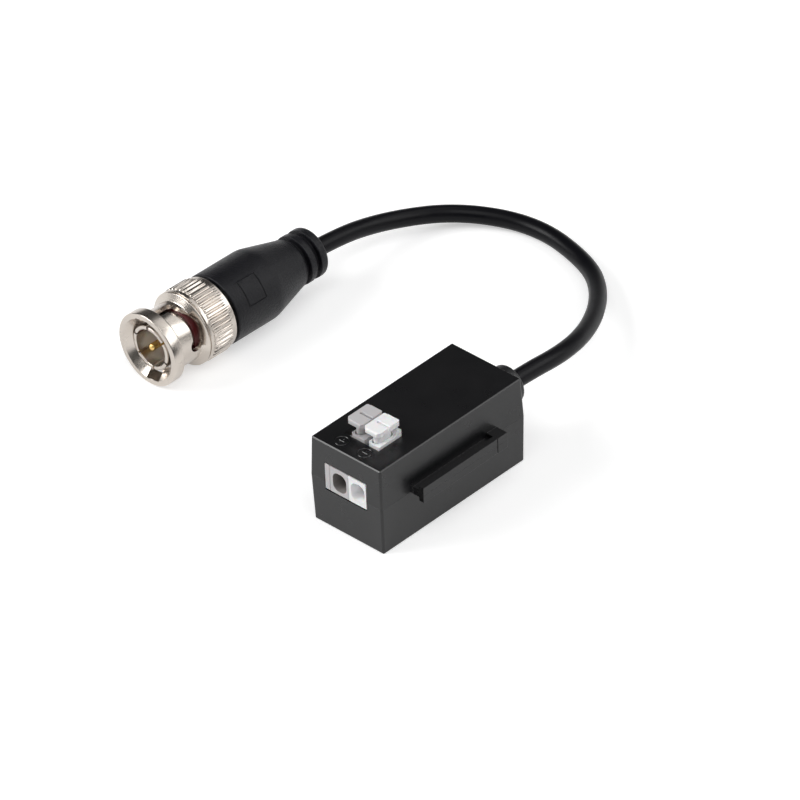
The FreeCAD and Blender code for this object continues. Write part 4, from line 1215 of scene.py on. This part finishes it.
@dataclass
class Studio:
    """The floor, the lamps, the world and the camera."""

    target: tuple[float, float, float] = (-15.543, 11.802, 5.0)
    azimuth: float = 44.718
    elevation: float = 36.358
    roll: float = -2.620
    distance: float = 1576.9
    lens: float = 407.25
    floor_half: float = 1500.0
    floor_colour: float = 0.75
    seen_glow: float = 0.48
    mirrored_glow: float = 0.33
    horizon_band: tuple[float, float] = (0.03, 0.22)
    horizon_level: float = 1.0
    ceiling_level: float = 0.05
    lamp_aim: tuple[float, float, float] = (-20.0, 10.0, 5.0)
    lamp_distance: float = 950.0
    lamps: tuple[tuple[str, float, float, tuple[float, float], float], ...] = (
        ("front box", -44.0, 35.0, (540.0, 460.0), 0.66),
        ("side box", 134.0, 35.0, (860.0, 540.0), 0.40),
        ("top box", 45.0, 66.0, (800.0, 640.0), 0.36),
        ("back box", 176.0, 56.0, (620.0, 420.0), 0.09),
    )

    def camera(self) -> None:
        """Places the camera on the line from the target at the photograph's azimuth, elevation and roll.

        Its three axes are right, up and back: back points from the target to the camera, and the roll turns
        right and up about it.
        """
        right, up, back = facing(math.radians(self.azimuth), math.radians(self.elevation))
        roll = math.radians(self.roll)
        tilted_right = math.cos(roll) * right + math.sin(roll) * up
        tilted_up = -math.sin(roll) * right + math.cos(roll) * up
        place = (np.array(self.target) + back * self.distance) * MM
        data = bpy.data.cameras.new("camera")
        data.lens = self.lens
        data.sensor_width = 36.0
        data.clip_start = 0.05
        data.clip_end = 20.0
        camera = bpy.data.objects.new("camera", data)
        camera.matrix_world = placement(tilted_right, tilted_up, back, place)
        bpy.context.scene.collection.objects.link(camera)
        bpy.context.scene.camera = camera

    def floor(self) -> None:
        """A wide pale floor that keeps the object's shadow.

        To the camera, and in what metal and gloss mirror, a glow of its own lifts it to white.
        """
        half = self.floor_half
        corners = np.array([(-half, -half, 0.0), (half, -half, 0.0), (half, half, 0.0), (-half, half, 0.0)])
        floor = mesh_object("floor", corners, [[0, 1, 2, 3]])
        material = bpy.data.materials.new("pale floor")
        material.use_nodes = True
        tree = material.node_tree
        shader = tree.nodes["Principled BSDF"]
        shader.inputs["Base Color"].default_value = (*[self.floor_colour] * 3, 1.0)
        shader.inputs["Roughness"].default_value = 0.8
        shader.inputs["Specular IOR Level"].default_value = 0.0
        shader.inputs["Emission Color"].default_value = (1.0, 1.0, 1.0, 1.0)
        path = add_node(tree, "ShaderNodeLightPath")
        mirrored = add_node(tree, "ShaderNodeMath", operation="MAXIMUM")
        dimmed = add_node(tree, "ShaderNodeMath", {1: self.mirrored_glow}, operation="MULTIPLY")
        glow = add_node(tree, "ShaderNodeMath", {1: self.seen_glow}, operation="MULTIPLY_ADD")
        wire(
            tree,
            (path, "Is Glossy Ray", mirrored, 0),
            (path, "Is Transmission Ray", mirrored, 1),
            (mirrored, 0, dimmed, 0),
            (path, "Is Camera Ray", glow, 0),
            (dimmed, 0, glow, 2),
            (glow, 0, shader, "Emission Strength"),
        )
        floor.data.materials.append(material)

    def lamp(self, name: str, turn: float, rise: float, size: tuple[float, float], level: float) -> None:
        """One rectangular soft lamp that faces the object.

        Args:
            name: Its name.
            turn: Its azimuth in degrees, where 0 is in front of the wire ports and 90 beside the rail.
            rise: Its elevation in degrees.
            size: Its width and height in millimetres.
            level: Its light on a surface that faces it, where 1 shows a colour as it is written.
        """
        right, up, back = facing(math.radians(turn), math.radians(rise))
        reach = self.lamp_distance * MM
        data = bpy.data.lights.new(name, "AREA")
        data.shape = "RECTANGLE"
        data.size, data.size_y = size[0] * MM, size[1] * MM
        data.energy = level * math.pi**2 * reach**2
        lamp = bpy.data.objects.new(name, data)
        lamp.matrix_world = placement(right, up, back, np.array(self.lamp_aim) * MM + back * reach)
        bpy.context.scene.collection.objects.link(lamp)

    def world(self) -> None:
        """A room that is white round the horizon and dim overhead.

        The strength is a smooth step of the sine of the elevation, from the horizon's to the ceiling's.
        """
        world = bpy.data.worlds.new("studio")
        world.use_nodes = True
        tree = world.node_tree
        background = tree.nodes["Background"]
        background.inputs["Color"].default_value = (1.0, 1.0, 1.0, 1.0)
        place = add_node(tree, "ShaderNodeTexCoord")
        split = add_node(tree, "ShaderNodeSeparateXYZ")
        labels = ("From Min", "From Max", "To Min", "To Max")
        levels = (*self.horizon_band, self.horizon_level, self.ceiling_level)
        band = dict(zip(labels, levels))
        strength = add_node(tree, "ShaderNodeMapRange", band, interpolation_type="SMOOTHSTEP")
        wire(
            tree,
            (place, "Generated", split, "Vector"),
            (split, "Z", strength, "Value"),
            (strength, "Result", background, "Strength"),
        )
        bpy.context.scene.world = world

    def build(self) -> None:
        """Sets up everything that isn't the object."""
        bpy.context.scene.view_settings.view_transform = "Standard"
        self.camera()
        self.floor()
        self.world()
        for settings in self.lamps:
            self.lamp(*settings)


def main() -> None:
    """Builds the studio and then the object, piece by piece."""
    logging.basicConfig(level=logging.INFO, format="%(name)s: %(message)s")
    Studio().build()
    wardrobe = Wardrobe()
    plug = Plug().build(wardrobe)
    kept = [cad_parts[node] for node in ("crimp_ferrule", "plug_core_stub", "wave_washer", "snap_ring")]
    CordLoop().build(wardrobe, plug + kept)
    Gland().build(wardrobe)
    Mouldings().build(wardrobe)
    Inside().build(wardrobe)


if __name__ == "__main__":
    main()
